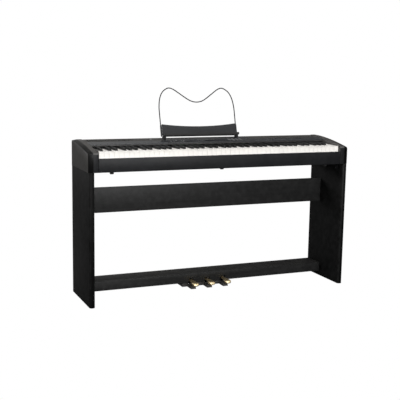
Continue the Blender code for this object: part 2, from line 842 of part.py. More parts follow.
# ---------------------------------------------------------------- music rest
REST_HALF = 0.196
REST_SHELF_DEPTH = 0.034
REST_PAD = 0.0006  # height of the ribbed pad that the music stands on
REST_LEG_SPREAD = 0.187
REST_LEG_RADIUS = 0.0045
REST_SHELF_UP = 0.0065  # of the shelf above the case's rear top edge
REST_WIRE_X = 0.1995


def rest_foot_back():
    return REST_BACK - CASE_SETBACK - 0.0135


def add_peg_holes(bm):
    """Clearance holes for the music rest's two pegs, in the case's frame."""
    for x in (-REST_LEG_SPREAD, REST_LEG_SPREAD):
        centre = (REST_X + x, rest_foot_back(), CASE_REAR_HEIGHT)
        add_cylinder(bm, REST_LEG_RADIUS + 0.0005, 0.05, centre, sides=16)


def rest_ledge():
    """The shelf and the low plate behind it, whose upper edge dips in the middle."""
    steps = 10
    outline = [(-REST_HALF, 0.0), (REST_HALF, 0.0)]
    for i in range(steps + 1):
        x = REST_HALF - 2 * REST_HALF * i / steps
        outline.append((x, 0.047 + 0.0125 * (x / REST_HALF) ** 2))
    plate = outline_mesh("plate", outline, 0.003)
    bm = bmesh.new()
    bm.from_mesh(plate.data)
    for vert in bm.verts:
        x, up, through = vert.co
        vert.co = (x, through, up)
    bpy.data.objects.remove(plate)
    ledge = mesh_object("rest_ledge", bm)
    place(ledge, "case_black", REST, (0, -0.0060, 0))
    shelf = bmesh.new()
    low, high = (-REST_HALF + 0.0005, -REST_SHELF_DEPTH, -0.0025), (REST_HALF - 0.0005, 0.0, 0.0015)
    add_box(shelf, low, high)
    join(ledge, cutter("rest_shelf", shelf, REST, (0, -0.0060, 0)))
    lip = bmesh.new()
    inner = -REST_SHELF_DEPTH + 0.0035
    low, high = (-REST_HALF + 0.001, -REST_SHELF_DEPTH, -0.0020), (REST_HALF - 0.001, inner, 0.0085)
    add_box(lip, low, high)
    join(ledge, cutter("rest_lip", lip, REST, (0, -0.0060, 0)))
    pad = bmesh.new()
    low, high = (-REST_HALF + 0.006, inner + 0.002, 0.0010), (REST_HALF - 0.006, -0.0035, 0.0015 + REST_PAD)
    add_box(pad, low, high)
    join(ledge, cutter("rest_pad", pad, REST, (0, -0.0060, 0)))
    return join(ledge, rest_pegs())


def rest_pegs():
    """The shape of the two round pegs that plug into the case."""
    bm = bmesh.new()
    top = CASE_REAR_HEIGHT + REST_SHELF_UP + 0.004
    bottom = deck_height(rest_foot_back()) - 0.016
    for side in (-1, 1):
        centre = (REST_X + side * REST_LEG_SPREAD, rest_foot_back(), (top + bottom) / 2)
        add_cylinder(bm, REST_LEG_RADIUS, top - bottom, centre, sides=12)
    return cutter("rest_pegs", bm, CASE)


def wire_line():
    """The bent wire's centreline in the rest's plane: up one side, over two humps and down again."""
    half = [
        (REST_WIRE_X, 0.000), (REST_WIRE_X, 0.045), (0.2000, 0.100), (0.1993, 0.150),
        (0.1918, 0.192), (0.1770, 0.222), (0.1570, 0.2385), (0.1398, 0.2440), (0.1190, 0.2375),
        (0.0930, 0.2200), (0.0620, 0.1975), (0.0370, 0.1815), (0.0180, 0.1745),
    ]
    return half + [(0.0, 0.1725)] + [(-x, up) for x, up in reversed(half)]


def smooth_line(points, per_span):
    """Points along a smooth curve through the given ones."""
    line = []
    for i in range(len(points) - 1):
        a, b = points[max(i - 1, 0)], points[i]
        c, d = points[i + 1], points[min(i + 2, len(points) - 1)]
        for step in range(per_span):
            t = step / per_span
            line.append(
                tuple(
                    0.5 * (2 * q + (r - p) * t + (2 * p - 5 * q + 4 * r - s) * t**2
                           + (3 * q - p - 3 * r + s) * t**3)
                    for p, q, r, s in zip(a, b, c, d)
                )
            )
    line.append(points[-1])
    return line


def rest_wire():
    scale = REST_WIRE_HEIGHT / math.cos(REST_LEAN) / 0.2440
    line = [(x, up * scale) for x, up in smooth_line(wire_line(), 2)]
    data = bpy.data.curves.new("rest_wire", "CURVE")
    data.dimensions = "3D"
    data.bevel_depth = REST_WIRE_RADIUS
    data.bevel_resolution = 2
    data.use_fill_caps = True
    spline = data.splines.new("POLY")
    spline.points.add(len(line) - 1)
    for point, (x, up) in zip(spline.points, line):
        point.co = (x, 0, up, 1)
    wire = bpy.data.objects.new("rest_wire", data)
    return place(wire, "wire_grey", REST)


# ---------------------------------------------------------------- pedal unit
RAIL_LOW = 0.024
RAIL_HIGH = 0.0697
PEDAL_UNIT_X = -0.010
PEDAL_SPACING = 0.086
PEDAL_XS = (-PEDAL_SPACING, 0.0, PEDAL_SPACING)
PEDAL_SLOT = 0.026
PEDAL_SLOT_TOP = 0.046
PEDAL_PIVOT_BACK = 0.078  # behind the rail's front
PEDAL_PIVOT_UP = 0.0335
PEDAL_REACH = 0.072  # in front of the rail's front
PEDAL_THICKNESS = 0.007
PEDAL_TOE_RADIUS = 0.0165
PEDAL_TOE_DEPTH = 0.0115  # below the pivot's level: the toe is cast thicker than the lever
SPRING_BACK = 0.042
COVER_BACK = 0.019
COVER_DEPTH = 0.086
COVER_WIDTH = 0.250
COVER_LOW = 0.0045
COVER_HIGH = RAIL_HIGH - BOARD_THICKNESS - TOUCH


def pedal_cover():
    """The black housing under the rail, open below, with a slot in front for each lever."""
    bm = bmesh.new()
    low = (-COVER_WIDTH / 2, COVER_BACK, COVER_LOW)
    high = (COVER_WIDTH / 2, COVER_BACK + COVER_DEPTH, COVER_HIGH)
    faces = add_box(bm, low, high)
    bmesh.ops.delete(bm, geom=[f for f in faces if f.normal.z < -0.5], context="FACES")
    cover = mesh_object("pedal_cover", bm)
    wall = cover.modifiers.new("wall", "SOLIDIFY")
    wall.thickness = SHELL
    wall.offset = -1.0
    wall.use_even_offset = True
    slots = bmesh.new()
    for x in PEDAL_XS:
        add_box(
            slots,
            (x - 0.010, COVER_BACK - 0.01, 0.014),
            (x + 0.010, COVER_BACK + 0.01, PEDAL_SLOT_TOP),
        )
    place(cover, "case_black", PEDALS)
    return cut(cover, cutter("lever_slots", slots, PEDALS))


def pedal_base():
    """The floor plate of the unit, with a tongue and a stop block under each pedal."""
    half = COVER_WIDTH / 2
    lines = (COVER_BACK + COVER_DEPTH, COVER_BACK, -0.034)
    levels = (0.0, COVER_LOW - TOUCH)
    plate = comb("pedal_base_plate", PEDAL_XS, (-half, half), lines, levels, 0.013)
    place(plate, "case_black", PEDALS)
    blocks = bmesh.new()
    for x in PEDAL_XS:
        add_box(blocks, (x - 0.0125, -0.0335, 0.001), (x + 0.0125, -0.004, 0.0150))
    return join(plate, cutter("stop_blocks", blocks, PEDALS))


def toe_angles():
    steps = 8
    return [math.pi + math.pi * i / steps for i in range(steps + 1)]


def pedal_outline():
    """Half-round toe, waist and parallel tail, in plan, about the pivot."""
    toe = -(PEDAL_PIVOT_BACK + PEDAL_REACH) + PEDAL_TOE_RADIUS
    points = [
        (PEDAL_TOE_RADIUS * math.cos(angle), toe + PEDAL_TOE_RADIUS * math.sin(angle)) for angle in toe_angles()
    ]
    arc = len(points)
    points += [(0.0160, toe + 0.022), (0.0115, toe + 0.050), (0.0080, toe + 0.072), (0.0080, 0.010)]
    mirrored = [(-x, y) for x, y in reversed(points[arc:])]
    return points + mirrored


def pedal(name, x):
    """One brass lever, bored for the rod it turns on."""
    lever = outline_mesh(name, pedal_outline(), PEDAL_THICKNESS)
    place(lever, "brass", PEDALS, (x, PEDAL_PIVOT_BACK, PEDAL_PIVOT_UP))
    bore = bmesh.new()
    add_cylinder(bore, 0.00245, 0.03, (0, 0, 0), axis="X", sides=12)
    tool = cutter(name + "_bore", bore, PEDALS, (x, PEDAL_PIVOT_BACK, PEDAL_PIVOT_UP))
    lever = cut(lever, tool)
    toe = bmesh.new()
    middle = -(PEDAL_PIVOT_BACK + PEDAL_REACH) + PEDAL_TOE_RADIUS
    radius = PEDAL_TOE_RADIUS - 0.0003
    outline = [(radius * math.cos(turn), middle + radius * math.sin(turn)) for turn in toe_angles()]
    outline += [(0.0150, middle + 0.0100), (-0.0150, middle + 0.0100)]
    under = toe.faces.new([toe.verts.new((across, back, -PEDAL_TOE_DEPTH)) for across, back in outline])
    raised = bmesh.ops.extrude_face_region(toe, geom=[under])["geom"]
    for vert in raised:
        if isinstance(vert, bmesh.types.BMVert):
            vert.co.z = 0.0
    bmesh.ops.recalc_face_normals(toe, faces=toe.faces)
    return join(lever, cutter(name + "_toe", toe, PEDALS, (x, PEDAL_PIVOT_BACK, PEDAL_PIVOT_UP)))


def pedal_rod():
    bm = bmesh.new()
    length = COVER_WIDTH - 2 * SHELL - 2 * TOUCH
    add_cylinder(bm, 0.0020, length, (0, PEDAL_PIVOT_BACK, PEDAL_PIVOT_UP), axis="X", sides=12)
    place(mesh_object("pedal_rod", bm, math.radians(40)), "spring_steel", PEDALS)


def pedal_spring(name, x):
    """A coil spring that pushes its lever up from the base plate."""
    turns, per_turn, radius, wire = 3, 8, 0.0050, 0.0009
    bottom = COVER_LOW + wire + TOUCH
    top = PEDAL_PIVOT_UP - PEDAL_THICKNESS / 2 - wire - TOUCH
    data = bpy.data.curves.new(name, "CURVE")
    data.dimensions = "3D"
    data.bevel_depth = wire
    data.bevel_resolution = 1
    data.use_fill_caps = True
    spline = data.splines.new("POLY")
    count = turns * per_turn
    spline.points.add(count)
    for i, point in enumerate(spline.points):
        angle = 2 * math.pi * i / per_turn
        up = bottom + (top - bottom) * i / count
        point.co = (radius * math.cos(angle), radius * math.sin(angle), up, 1)
    return place(bpy.data.objects.new(name, data), "spring_steel", PEDALS, (x, SPRING_BACK, 0))


# ---------------------------------------------------------------- the rest of the case's numbers
BOTTOM_UPSTAND = 0.038
SLIP_THICKNESS = 0.010
SLIP_HEIGHT = 0.0620
SPEAKER_X = 0.480
SPEAKER_UP = 0.107
SLIDER_REST = 0.070
FOOT_X, FOOT_FRONT, FOOT_REAR = 0.548, 0.030, 0.262
FOOT_RADIUS, FOOT_HEIGHT = 0.010, 0.011
CASE_FEET = [
    ("foot_front_left", -FOOT_X, FOOT_FRONT),
    ("foot_front_right", FOOT_X, FOOT_FRONT),
    ("foot_rear_left", -FOOT_X, FOOT_REAR),
    ("foot_rear_right", FOOT_X, FOOT_REAR),
    ("foot_middle", 0.0, 0.056),
]
JACK_XS = (0.270, 0.296, 0.322)
PORT_X = 0.362

# ---------------------------------------------------------------- assembly
clear_scene()
PIANO = collection("digital_piano")
CUTTERS = collection("cutters")

STAND = empty("stand", location=(0, FRONT, 0))
CASE = empty("case", location=(0, FRONT + CASE_SETBACK, CASE_BOTTOM))
CONTROLS = empty("controls", CASE, (0, DECK_FRONT, DECK_UP), (DECK_SLOPE, 0, 0))
REST = empty(
    "music_rest",
    CASE,
    (REST_X, REST_BACK - CASE_SETBACK, CASE_REAR_HEIGHT + REST_SHELF_UP),
    (-REST_LEAN, 0, 0),
)
PEDALS = empty("pedal_unit", location=(PEDAL_UNIT_X, FRONT + RAIL_FRONT, 0))

side_panel("left_side_panel", -1)
side_panel("right_side_panel", 1)
stand_boards()

end_block("left_end_block", -1)
end_block("right_end_block", 1)
bottom_case()
top_case()
key_slip()
case_feet()
jack_panel()

key_chassis()
action_strips()
spring_comb()
keyboard()

circuit_boards()
speaker("speaker_left", -1)
speaker("speaker_right", 1)
speaker_grille("speaker_grille_left", -1)
speaker_grille("speaker_grille_right", 1)
controls()
volume_slider()

rest_ledge()
rest_wire()

pedal_cover()
pedal_base()
for pedal_name, pedal_x in zip(("soft_pedal", "sostenuto_pedal", "sustain_pedal"), PEDAL_XS):
    pedal(pedal_name, pedal_x)
    pedal_spring(pedal_name + "_spring", pedal_x)
pedal_rod()
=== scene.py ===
# %% [markdown]
# # A digital piano on its stand
# The solids of this instrument already exist as a jointed frame: panels, case,
# 88 keys in sixteen moving groups, pedals and a music rest. This lesson dresses
# that frame. Plain solids that only need a finish keep their mesh; where the
# real part has rounded edges, slots or small fittings, a new piece stands for it.

# %% Load the frame
import json
import math

import bmesh
import bpy
from mathutils import Matrix, Vector


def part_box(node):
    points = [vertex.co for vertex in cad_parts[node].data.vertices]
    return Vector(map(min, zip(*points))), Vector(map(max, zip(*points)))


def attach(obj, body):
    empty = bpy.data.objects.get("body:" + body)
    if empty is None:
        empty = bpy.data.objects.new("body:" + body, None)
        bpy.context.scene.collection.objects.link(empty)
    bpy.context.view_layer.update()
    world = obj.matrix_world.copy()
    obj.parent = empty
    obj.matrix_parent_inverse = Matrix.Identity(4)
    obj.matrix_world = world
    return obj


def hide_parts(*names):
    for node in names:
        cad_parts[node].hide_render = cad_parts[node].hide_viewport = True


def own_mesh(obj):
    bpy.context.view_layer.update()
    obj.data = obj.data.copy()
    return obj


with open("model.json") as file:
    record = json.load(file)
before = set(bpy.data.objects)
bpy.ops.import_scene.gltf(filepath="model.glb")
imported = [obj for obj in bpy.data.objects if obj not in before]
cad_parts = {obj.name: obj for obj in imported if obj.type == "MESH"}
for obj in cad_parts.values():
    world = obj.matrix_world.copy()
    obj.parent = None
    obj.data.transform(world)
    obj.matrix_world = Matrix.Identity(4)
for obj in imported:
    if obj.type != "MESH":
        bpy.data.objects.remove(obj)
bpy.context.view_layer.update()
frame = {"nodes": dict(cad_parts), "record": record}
scene = bpy.context.scene
STAND = "stand_and_case"

# %% [markdown]
# ## The camera
# A product view from the player's left, a little above the keyboard. The camera's
# axes are worked out from yaw, pitch and roll.

# %% Camera
yaw, pitch, roll = (math.radians(angle) for angle in (23.01, 9.39, 0.96))
ahead = Vector((math.sin(yaw) * math.cos(pitch), math.cos(yaw) * math.cos(pitch), -math.sin(pitch)))
level = Vector((math.cos(yaw), -math.sin(yaw), 0.0))
above = level.cross(ahead)
across = level * math.cos(roll) + above * math.sin(roll)
upward = above * math.cos(roll) - level * math.sin(roll)
lens = bpy.data.cameras.new("product_view")
lens.lens = 74.15
lens.sensor_width = 36.0
camera = bpy.data.objects.new("product_view", lens)
turn = Matrix((across, upward, -ahead)).transposed().to_4x4()
STAND_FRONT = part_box("left_side_panel")[0].y
camera.matrix_world = Matrix.Translation((-1.6041, STAND_FRONT - 3.4633, 1.0904)) @ turn
scene.collection.objects.link(camera)
scene.camera = camera
print("camera looks along", [round(v, 3) for v in ahead])

# %% [markdown]
# ## Small tools for building node trees
# `add` makes one node and feeds its sockets with plain values or with the outputs
# of other nodes, so each finish below takes a few readable lines.

# %% Node helpers
def add(tree, kind, feeds=None, **settings):
    """Makes a node, sets its options and feeds its inputs."""
    made = tree.nodes.new("ShaderNode" + kind)
    for option, value in settings.items():
        setattr(made, option, value)
    for socket, value in (feeds or {}).items():
        feed(tree, made.inputs[socket], value)
    return made


def feed(tree, socket, value):
    if isinstance(value, bpy.types.NodeSocket):
        tree.links.new(value, socket)
    else:
        socket.default_value = value


def spread(tree, value, low, high, out_low=0.0, out_high=1.0):
    """Stretches low..high to out_low..out_high, and clamps it."""
    feeds = {"Value": value, "From Min": low, "From Max": high, "To Min": out_low, "To Max": out_high}
    return add(tree, "MapRange", feeds).outputs["Result"]


def times(tree, a, b):
    return add(tree, "Math", {0: a, 1: b}, operation="MULTIPLY").outputs["Value"]


def mixed(tree, share, a, b):
    """A colour between a and b."""
    return add(tree, "Mix", {0: share, 6: a, 7: b}, data_type="RGBA").outputs[2]


def noise(tree, scale, detail, stretch=(1.0, 1.0, 1.0)):
    """Noise over the object's own coordinates, drawn out by a stretch."""
    spot = add(tree, "TexCoord").outputs["Object"]
    drawn = add(tree, "VectorMath", {0: spot, 1: stretch}, operation="MULTIPLY").outputs[0]
    return add(tree, "TexNoise", {"Vector": drawn, "Scale": scale, "Detail": detail}).outputs[0]


def start_group(name, wants, gives):
    """An empty shader group with named inputs and outputs."""
    tree = bpy.data.node_groups.new(name, "ShaderNodeTree")
    for label, kind, value in wants:
        made = tree.interface.new_socket(label, in_out="INPUT", socket_type="NodeSocket" + kind)
        made.default_value = value
    for label, kind in gives:
        tree.interface.new_socket(label, in_out="OUTPUT", socket_type="NodeSocket" + kind)
    have = tree.nodes.new("NodeGroupInput").outputs
    give = tree.nodes.new("NodeGroupOutput").inputs
    return tree, have, give


def rgb(value, tint=(1.0, 1.0, 1.0)):
    return (value * tint[0], value * tint[1], value * tint[2], 1.0)


# %% [markdown]
# ## What several finishes share
# Moulded plastic has a fine spark-eroded grain and slow changes of tone. Laminate
# has long pores along the board. Dust settles on faces that look up, and corners
# lose some of their texture to handling. Each of these is a node group, built once.

# %% Moulded grain
SURFACE = [("Colour", "Color"), ("Polish", "Float"), ("Relief", "Float")]
TONES = [("Dark", "Color", rgb(0.01)), ("Light", "Color", rgb(0.02))]
moulded, have, give = start_group(
    "moulded_grain", TONES + [("Grain", "Float", 900.0), ("Patches", "Float", 7.0)], SURFACE
)
fine = spread(moulded, noise(moulded, have["Grain"], 2.0), 0.3, 0.7)
broad = spread(moulded, noise(moulded, have["Patches"], 4.0), 0.35, 0.65)
share = add(moulded, "Mix", {0: 0.35, 2: broad, 3: fine}).outputs[0]
feed(moulded, give["Colour"], mixed(moulded, share, have["Dark"], have["Light"]))
feed(moulded, give["Polish"], share)
feed(moulded, give["Relief"], fine)
print("group:", moulded.name)

# %% Laminate grain
laminate, have, give = start_group(
    "laminate_grain", TONES + [("Stretch", "Vector", (500.0, 500.0, 12.0))], SURFACE
)
pores = spread(laminate, noise(laminate, 1.0, 3.0, have["Stretch"]), 0.38, 0.62)
figure = spread(laminate, noise(laminate, 0.11, 2.0, have["Stretch"]), 0.3, 0.7)
share = add(laminate, "Mix", {0: 0.5, 2: figure, 3: pores}).outputs[0]
feed(laminate, give["Colour"], mixed(laminate, share, have["Dark"], have["Light"]))
feed(laminate, give["Polish"], share)
feed(laminate, give["Relief"], pores)
print("group:", laminate.name)

# %% Dust and worn edges
dust, have, give = start_group("settled_dust", [("Amount", "Float", 0.1)], [("Mask", "Float")])
facing = add(dust, "SeparateXYZ", {0: add(dust, "NewGeometry").outputs["Normal"]}).outputs["Z"]
specks = spread(dust, noise(dust, 22.0, 7.0), 0.35, 0.8)
mask = times(dust, spread(dust, facing, 0.55, 0.95), specks)
feed(dust, give["Mask"], times(dust, mask, have["Amount"]))

wear, have, give = start_group("worn_edges", [("Amount", "Float", 0.2)], [("Mask", "Float")])
sharp = spread(wear, add(wear, "NewGeometry").outputs["Pointiness"], 0.51, 0.58)
mask = times(wear, sharp, spread(wear, noise(wear, 45.0, 4.0), 0.35, 0.7))
feed(wear, give["Mask"], times(wear, mask, have["Amount"]))

brushed, have, give = start_group(
    "brushed_metal", [("Stretch", "Vector", (30.0, 900.0, 900.0))], [("Polish", "Float"), ("Relief", "Float")]
)
feed(brushed, give["Polish"], spread(brushed, noise(brushed, 30.0, 3.0), 0.3, 0.7))
feed(brushed, give["Relief"], noise(brushed, 1.0, 3.0, have["Stretch"]))

woven, have, give = start_group("plain_weave", TONES + [("Threads", "Float", 900.0)], SURFACE)
spot = add(woven, "TexCoord").outputs["Object"]
warp = add(woven, "TexWave", {"Vector": spot, "Scale": have["Threads"]}, bands_direction="X").outputs[1]
weft = add(woven, "TexWave", {"Vector": spot, "Scale": have["Threads"]}, bands_direction="Y").outputs[1]
crossing = add(woven, "Math", {0: warp, 1: weft}, operation="MAXIMUM").outputs[0]
feed(woven, give["Colour"], mixed(woven, crossing, have["Dark"], have["Light"]))
feed(woven, give["Polish"], crossing)
feed(woven, give["Relief"], crossing)
print("groups:", ", ".join(tree.name for tree in (dust, wear, brushed, woven)))

# %% [markdown]
# ## The finishes
# Every opaque finish here is the same recipe: a surface group gives colour, polish
# and relief; dust and wear tint it; one Principled shader does the rest. A single
# function therefore makes them all, and each finish is one line of its own numbers.

# %% Finish recipe
DUST_TINT = rgb(0.30, (1.0, 0.97, 0.92))


def group_node(tree, group, feeds):
    made = tree.nodes.new("ShaderNodeGroup")
    made.node_tree = group
    for socket, value in feeds.items():
        feed(tree, made.inputs[socket], value)
    return made


def finish(name, group, feeds, rough, relief, specular=0.5, metal=0.0, coat=0.0, dusty=0.05, worn=0.0,
           worn_tint=rgb(0.10)):
    """A material from one surface group. Rough is (smoothest, roughest), relief is in metres."""
    made = bpy.data.materials.new(name)
    made.use_nodes = True
    tree = made.node_tree
    shader = tree.nodes["Principled BSDF"]
    surface = group_node(tree, group, feeds)
    colour = surface.outputs["Colour"]
    if worn:
        mask = group_node(tree, wear, {"Amount": worn}).outputs["Mask"]
        colour = mixed(tree, mask, colour, worn_tint)
    roughness = spread(tree, surface.outputs["Polish"], 0.0, 1.0, *rough)
    if dusty:
        mask = group_node(tree, dust, {"Amount": dusty}).outputs["Mask"]
        colour = mixed(tree, mask, colour, DUST_TINT)
        roughness = add(tree, "Math", {0: roughness, 1: mask}, operation="ADD", use_clamp=True).outputs[0]
    bump = add(tree, "Bump", {"Height": surface.outputs["Relief"], "Distance": relief, "Strength": 0.6})
    feed(tree, shader.inputs["Base Color"], colour)
    feed(tree, shader.inputs["Roughness"], roughness)
    feed(tree, shader.inputs["Normal"], bump.outputs["Normal"])
    shader.inputs["Specular IOR Level"].default_value = specular
    shader.inputs["Metallic"].default_value = metal
    shader.inputs["Coat Weight"].default_value = coat
    shader.inputs["Coat Roughness"].default_value = 0.12
    return made


def metal_finish(name, tint, rough, stretch, relief=0.00002):
    """Bare metal: brushed relief, and cloudy patches of polish."""
    made = bpy.data.materials.new(name)
    made.use_nodes = True
    tree = made.node_tree
    shader = tree.nodes["Principled BSDF"]
    surface = group_node(tree, brushed, {"Stretch": stretch})
    tone = mixed(tree, surface.outputs["Polish"], tint, tuple(c * 0.86 for c in tint[:3]) + (1.0,))
    bump = add(tree, "Bump", {"Height": surface.outputs["Relief"], "Distance": relief, "Strength": 0.5})
    feed(tree, shader.inputs["Base Color"], tone)
    feed(tree, shader.inputs["Roughness"], spread(tree, surface.outputs["Polish"], 0.0, 1.0, *rough))
    feed(tree, shader.inputs["Normal"], bump.outputs["Normal"])
    shader.inputs["Metallic"].default_value = 1.0
    return made


# %% The finishes themselves
def tones(dark, light, tint=(1.0, 1.0, 1.0), **more):
    return {"Dark": rgb(dark, tint), "Light": rgb(light, tint), **more}


WARM, COOL = (1.0, 0.95, 0.90), (0.92, 0.97, 1.08)
UPRIGHT, LENGTHWAYS = (700.0, 700.0, 9.0), (9.0, 700.0, 700.0)
upright = finish("upright_laminate", laminate, tones(0.0026, 0.0044, Stretch=UPRIGHT),
                 (0.45, 0.58), 0.00004, 0.10, worn=0.1)
lengthways = finish("lengthways_laminate", laminate, tones(0.007, 0.012, Stretch=LENGTHWAYS),
                    (0.40, 0.52), 0.00004, 0.22, worn=0.2)
banding = finish("edge_banding", laminate, tones(0.0014, 0.0024, Stretch=UPRIGHT),
                 (0.45, 0.6), 0.00003, 0.08, dusty=0.0)
case_skin = finish("case_moulding", moulded, tones(0.040, 0.052, WARM, Grain=1100.0),
                   (0.36, 0.46), 0.00003, 0.35, worn=0.12)
# The chamfer finish is near-black: painted shade standing for the dark reflection on the end blocks' chamfers.
chamfer_shade_skin = finish("chamfer_painted_shade", moulded, tones(0.0015, 0.0025, Grain=600.0), (0.26, 0.36), 0.00001, 0.14)
slip_skin = finish("key_slip_moulding", moulded, tones(0.0080, 0.0110, COOL, Grain=1100.0),
                   (0.42, 0.52), 0.00003, 0.16, worn=0.05)
deck_skin = finish("deck_moulding", moulded, tones(0.024, 0.032, WARM, Grain=1000.0),
                   (0.34, 0.44), 0.00004, 0.5, dusty=0.05)
nosing_skin = finish("deck_nosing", moulded, tones(0.020, 0.028, COOL, Grain=900.0),
                     (0.30, 0.40), 0.00002, 0.4, dusty=0.0)
gloss_skin = finish("glossy_overlay", moulded, tones(0.023, 0.033, COOL, Grain=300.0),
                    (0.20, 0.30), 0.000004, 0.3, coat=0.1, dusty=0.03)
ledge_skin = finish("rest_moulding", moulded, tones(0.0100, 0.0140, COOL, Grain=1200.0),
                    (0.40, 0.50), 0.00003, 0.22)
white_skin = finish("white_key", moulded, tones(0.80, 0.86, (1.0, 0.975, 0.93), Grain=500.0, Patches=4.0),
                    (0.22, 0.34), 0.000006, 0.5, dusty=0.0)
black_skin = finish("black_key", moulded, tones(0.003, 0.005, Grain=1400.0, Patches=20.0),
                    (0.36, 0.48), 0.00003, 0.22, dusty=0.0, worn=0.2, worn_tint=rgb(0.02))
chassis_skin = finish("chassis_moulding", moulded, tones(0.10, 0.13), (0.5, 0.65), 0.00003)
button_skin = finish("button_moulding", moulded, tones(0.09, 0.12, Grain=900.0),
                     (0.35, 0.45), 0.00001, 0.5, dusty=0.0)
dark_button = finish("dark_button", moulded, tones(0.020, 0.028), (0.3, 0.4), 0.00001, dusty=0.0)
print_ink = finish("printed_lines", moulded, tones(0.50, 0.58), (0.5, 0.6), 0.000002, dusty=0.0)
lamp_off = finish("lamp_window", moulded, tones(0.06, 0.08, (1.6, 0.5, 0.4)), (0.15, 0.25), 0.000002, dusty=0.0)
display_glass = finish("display_window", moulded, tones(0.004, 0.006, (0.8, 1.1, 1.3), Grain=200.0),
                       (0.05, 0.10), 0.000001, 0.5, coat=0.6, dusty=0.0)
segments_skin = finish("display_segments", moulded, tones(0.020, 0.026, (0.8, 1.1, 1.2)), (0.3, 0.4), 0.000001,
                       dusty=0.0)
rubber_skin = finish("rubber", moulded, tones(0.010, 0.016, Grain=700.0), (0.75, 0.9), 0.00006, 0.3)
wire_skin = finish("coated_wire", moulded, tones(0.004, 0.007, COOL, Grain=1600.0), (0.45, 0.55), 0.00002,
                   0.12, dusty=0.0)
cloth_skin = finish("speaker_cloth", woven, tones(0.003, 0.010, Threads=260.0), (0.8, 0.95), 0.0002, 0.2)
paper_skin = finish("speaker_paper", moulded, tones(0.02, 0.03, Grain=300.0), (0.8, 0.95), 0.0001, 0.2)
felt_skin = finish("felt", moulded, tones(0.10, 0.16, (1.0, 0.10, 0.08), Grain=600.0), (0.9, 1.0), 0.0002, 0.1,
                   dusty=0.0)
board_skin = finish("circuit_board", moulded, tones(0.02, 0.05, (0.2, 1.0, 0.4), Grain=150.0), (0.3, 0.5),
                    0.00003)
brass_skin = metal_finish("polished_brass", (1.0, 0.82, 0.50, 1.0), (0.30, 0.42), (60.0, 700.0, 60.0))
black_steel = metal_finish("blackened_steel", (0.030, 0.030, 0.034, 1.0), (0.40, 0.55), (40.0, 900.0, 900.0))
steel_skin = metal_finish("bright_steel", (0.62, 0.62, 0.64, 1.0), (0.25, 0.38), (40.0, 900.0, 900.0))
socket_skin = metal_finish("nickel", (0.55, 0.54, 0.52, 1.0), (0.22, 0.34), (300.0, 300.0, 300.0))
print("finishes:", len(bpy.data.materials))

# %% [markdown]
# ## A finish for every solid of the frame
# The frame's solids keep their mesh, so their finish is set on their material
# slots. Solids that are replaced further down get one too.

# %% Dress the frame's solids
FRAME_FINISHES = {
    "stand_laminate": lengthways, "case_black": case_skin, "panel_gloss": gloss_skin,
    "key_white": white_skin, "key_black": black_skin, "chassis_grey": chassis_skin,
    "felt": felt_skin, "board_green": board_skin, "rubber": rubber_skin,
    "spring_steel": steel_skin, "wire_grey": wire_skin, "brass": brass_skin,
    "button_grey": button_skin, "display": display_glass, "speaker_black": paper_skin,
}
for part in frame["record"]["subparts"]:
    solid = frame["nodes"][part["node"]]
    skin = FRAME_FINISHES[part["material_slot"]]
    if part["node"] == "top_case":
        skin = deck_skin
    if not solid.data.materials:
        solid.data.materials.append(skin)
    for place in solid.material_slots:
        place.material = skin

# %% [markdown]
# ## Bench tools for shapes
# The few moves that nearly every piece needs: a box between two corners, a rounding
# of chosen edges, a slice, and a draw that leaves no wall inside. `finished` turns
# the bmesh into a piece that rides on a body.

# %% Shape helpers
def block(bm, low, high, frame_of=None):
    """A box between any two opposite corners, in the given frame. Returns its vertices."""
    made = bmesh.ops.create_cube(bm, size=1.0)["verts"]
    ranges = [sorted(pair) for pair in zip(low, high)]
    low, high = (Vector([pair[end] for pair in ranges]) for end in (0, 1))
    bmesh.ops.scale(bm, vec=high - low, verts=made)
    bmesh.ops.translate(bm, vec=(low + high) / 2, verts=made)
    if frame_of:
        bmesh.ops.transform(bm, matrix=frame_of, verts=made)
    return made


def edges_of(verts, test=lambda edge: True):
    found = {edge for vert in verts if vert.is_valid for edge in vert.link_edges}
    return [edge for edge in found if len(edge.link_faces) == 2 and test(edge)]


def rounding(bm, edges, width, steps=2):
    bmesh.ops.bevel(
        bm, geom=list(edges), offset=width, offset_type="OFFSET", segments=steps, profile=0.5,
        affect="EDGES", clamp_overlap=True, material=-1,
    )


def soft_block(bm, low, high, width, steps=2, frame_of=None):
    """A box with all its edges rounded."""
    made = block(bm, low, high, frame_of)
    rounding(bm, edges_of(made), width, steps)


def slice_at(bm, point, normal):
    everything = bm.verts[:] + bm.edges[:] + bm.faces[:]
    bmesh.ops.bisect_plane(bm, geom=everything, plane_co=point, plane_no=normal, dist=1e-7)
    bm.normal_update()


def upper_faces(bm, test=lambda face: True):
    """The faces that look up and pass a test."""
    return [face for face in bm.faces if face.normal.z > 0.9 and test(face)]


def sink(bm, faces, depth):
    """Lowers some faces, for a sunk drive or a dished top."""
    bmesh.ops.translate(bm, vec=(0, 0, -depth), verts=list({v for f in faces for v in f.verts}))


def draw_out(bm, faces, vector):
    """Extrudes faces and removes the wall that would stay inside."""
    drawn = bmesh.ops.extrude_face_region(bm, geom=faces)["geom"]
    bmesh.ops.translate(bm, vec=vector, verts=[v for v in drawn if isinstance(v, bmesh.types.BMVert)])
    bmesh.ops.delete(bm, geom=[face for face in faces if face.is_valid], context="FACES")
    bm.normal_update()


def pour(bm, part):
    """Adds one bmesh to another and frees it."""
    carrier = bpy.data.meshes.new("carrier")
    part.to_mesh(carrier)
    part.free()
    bm.from_mesh(carrier)
    bpy.data.meshes.remove(carrier)


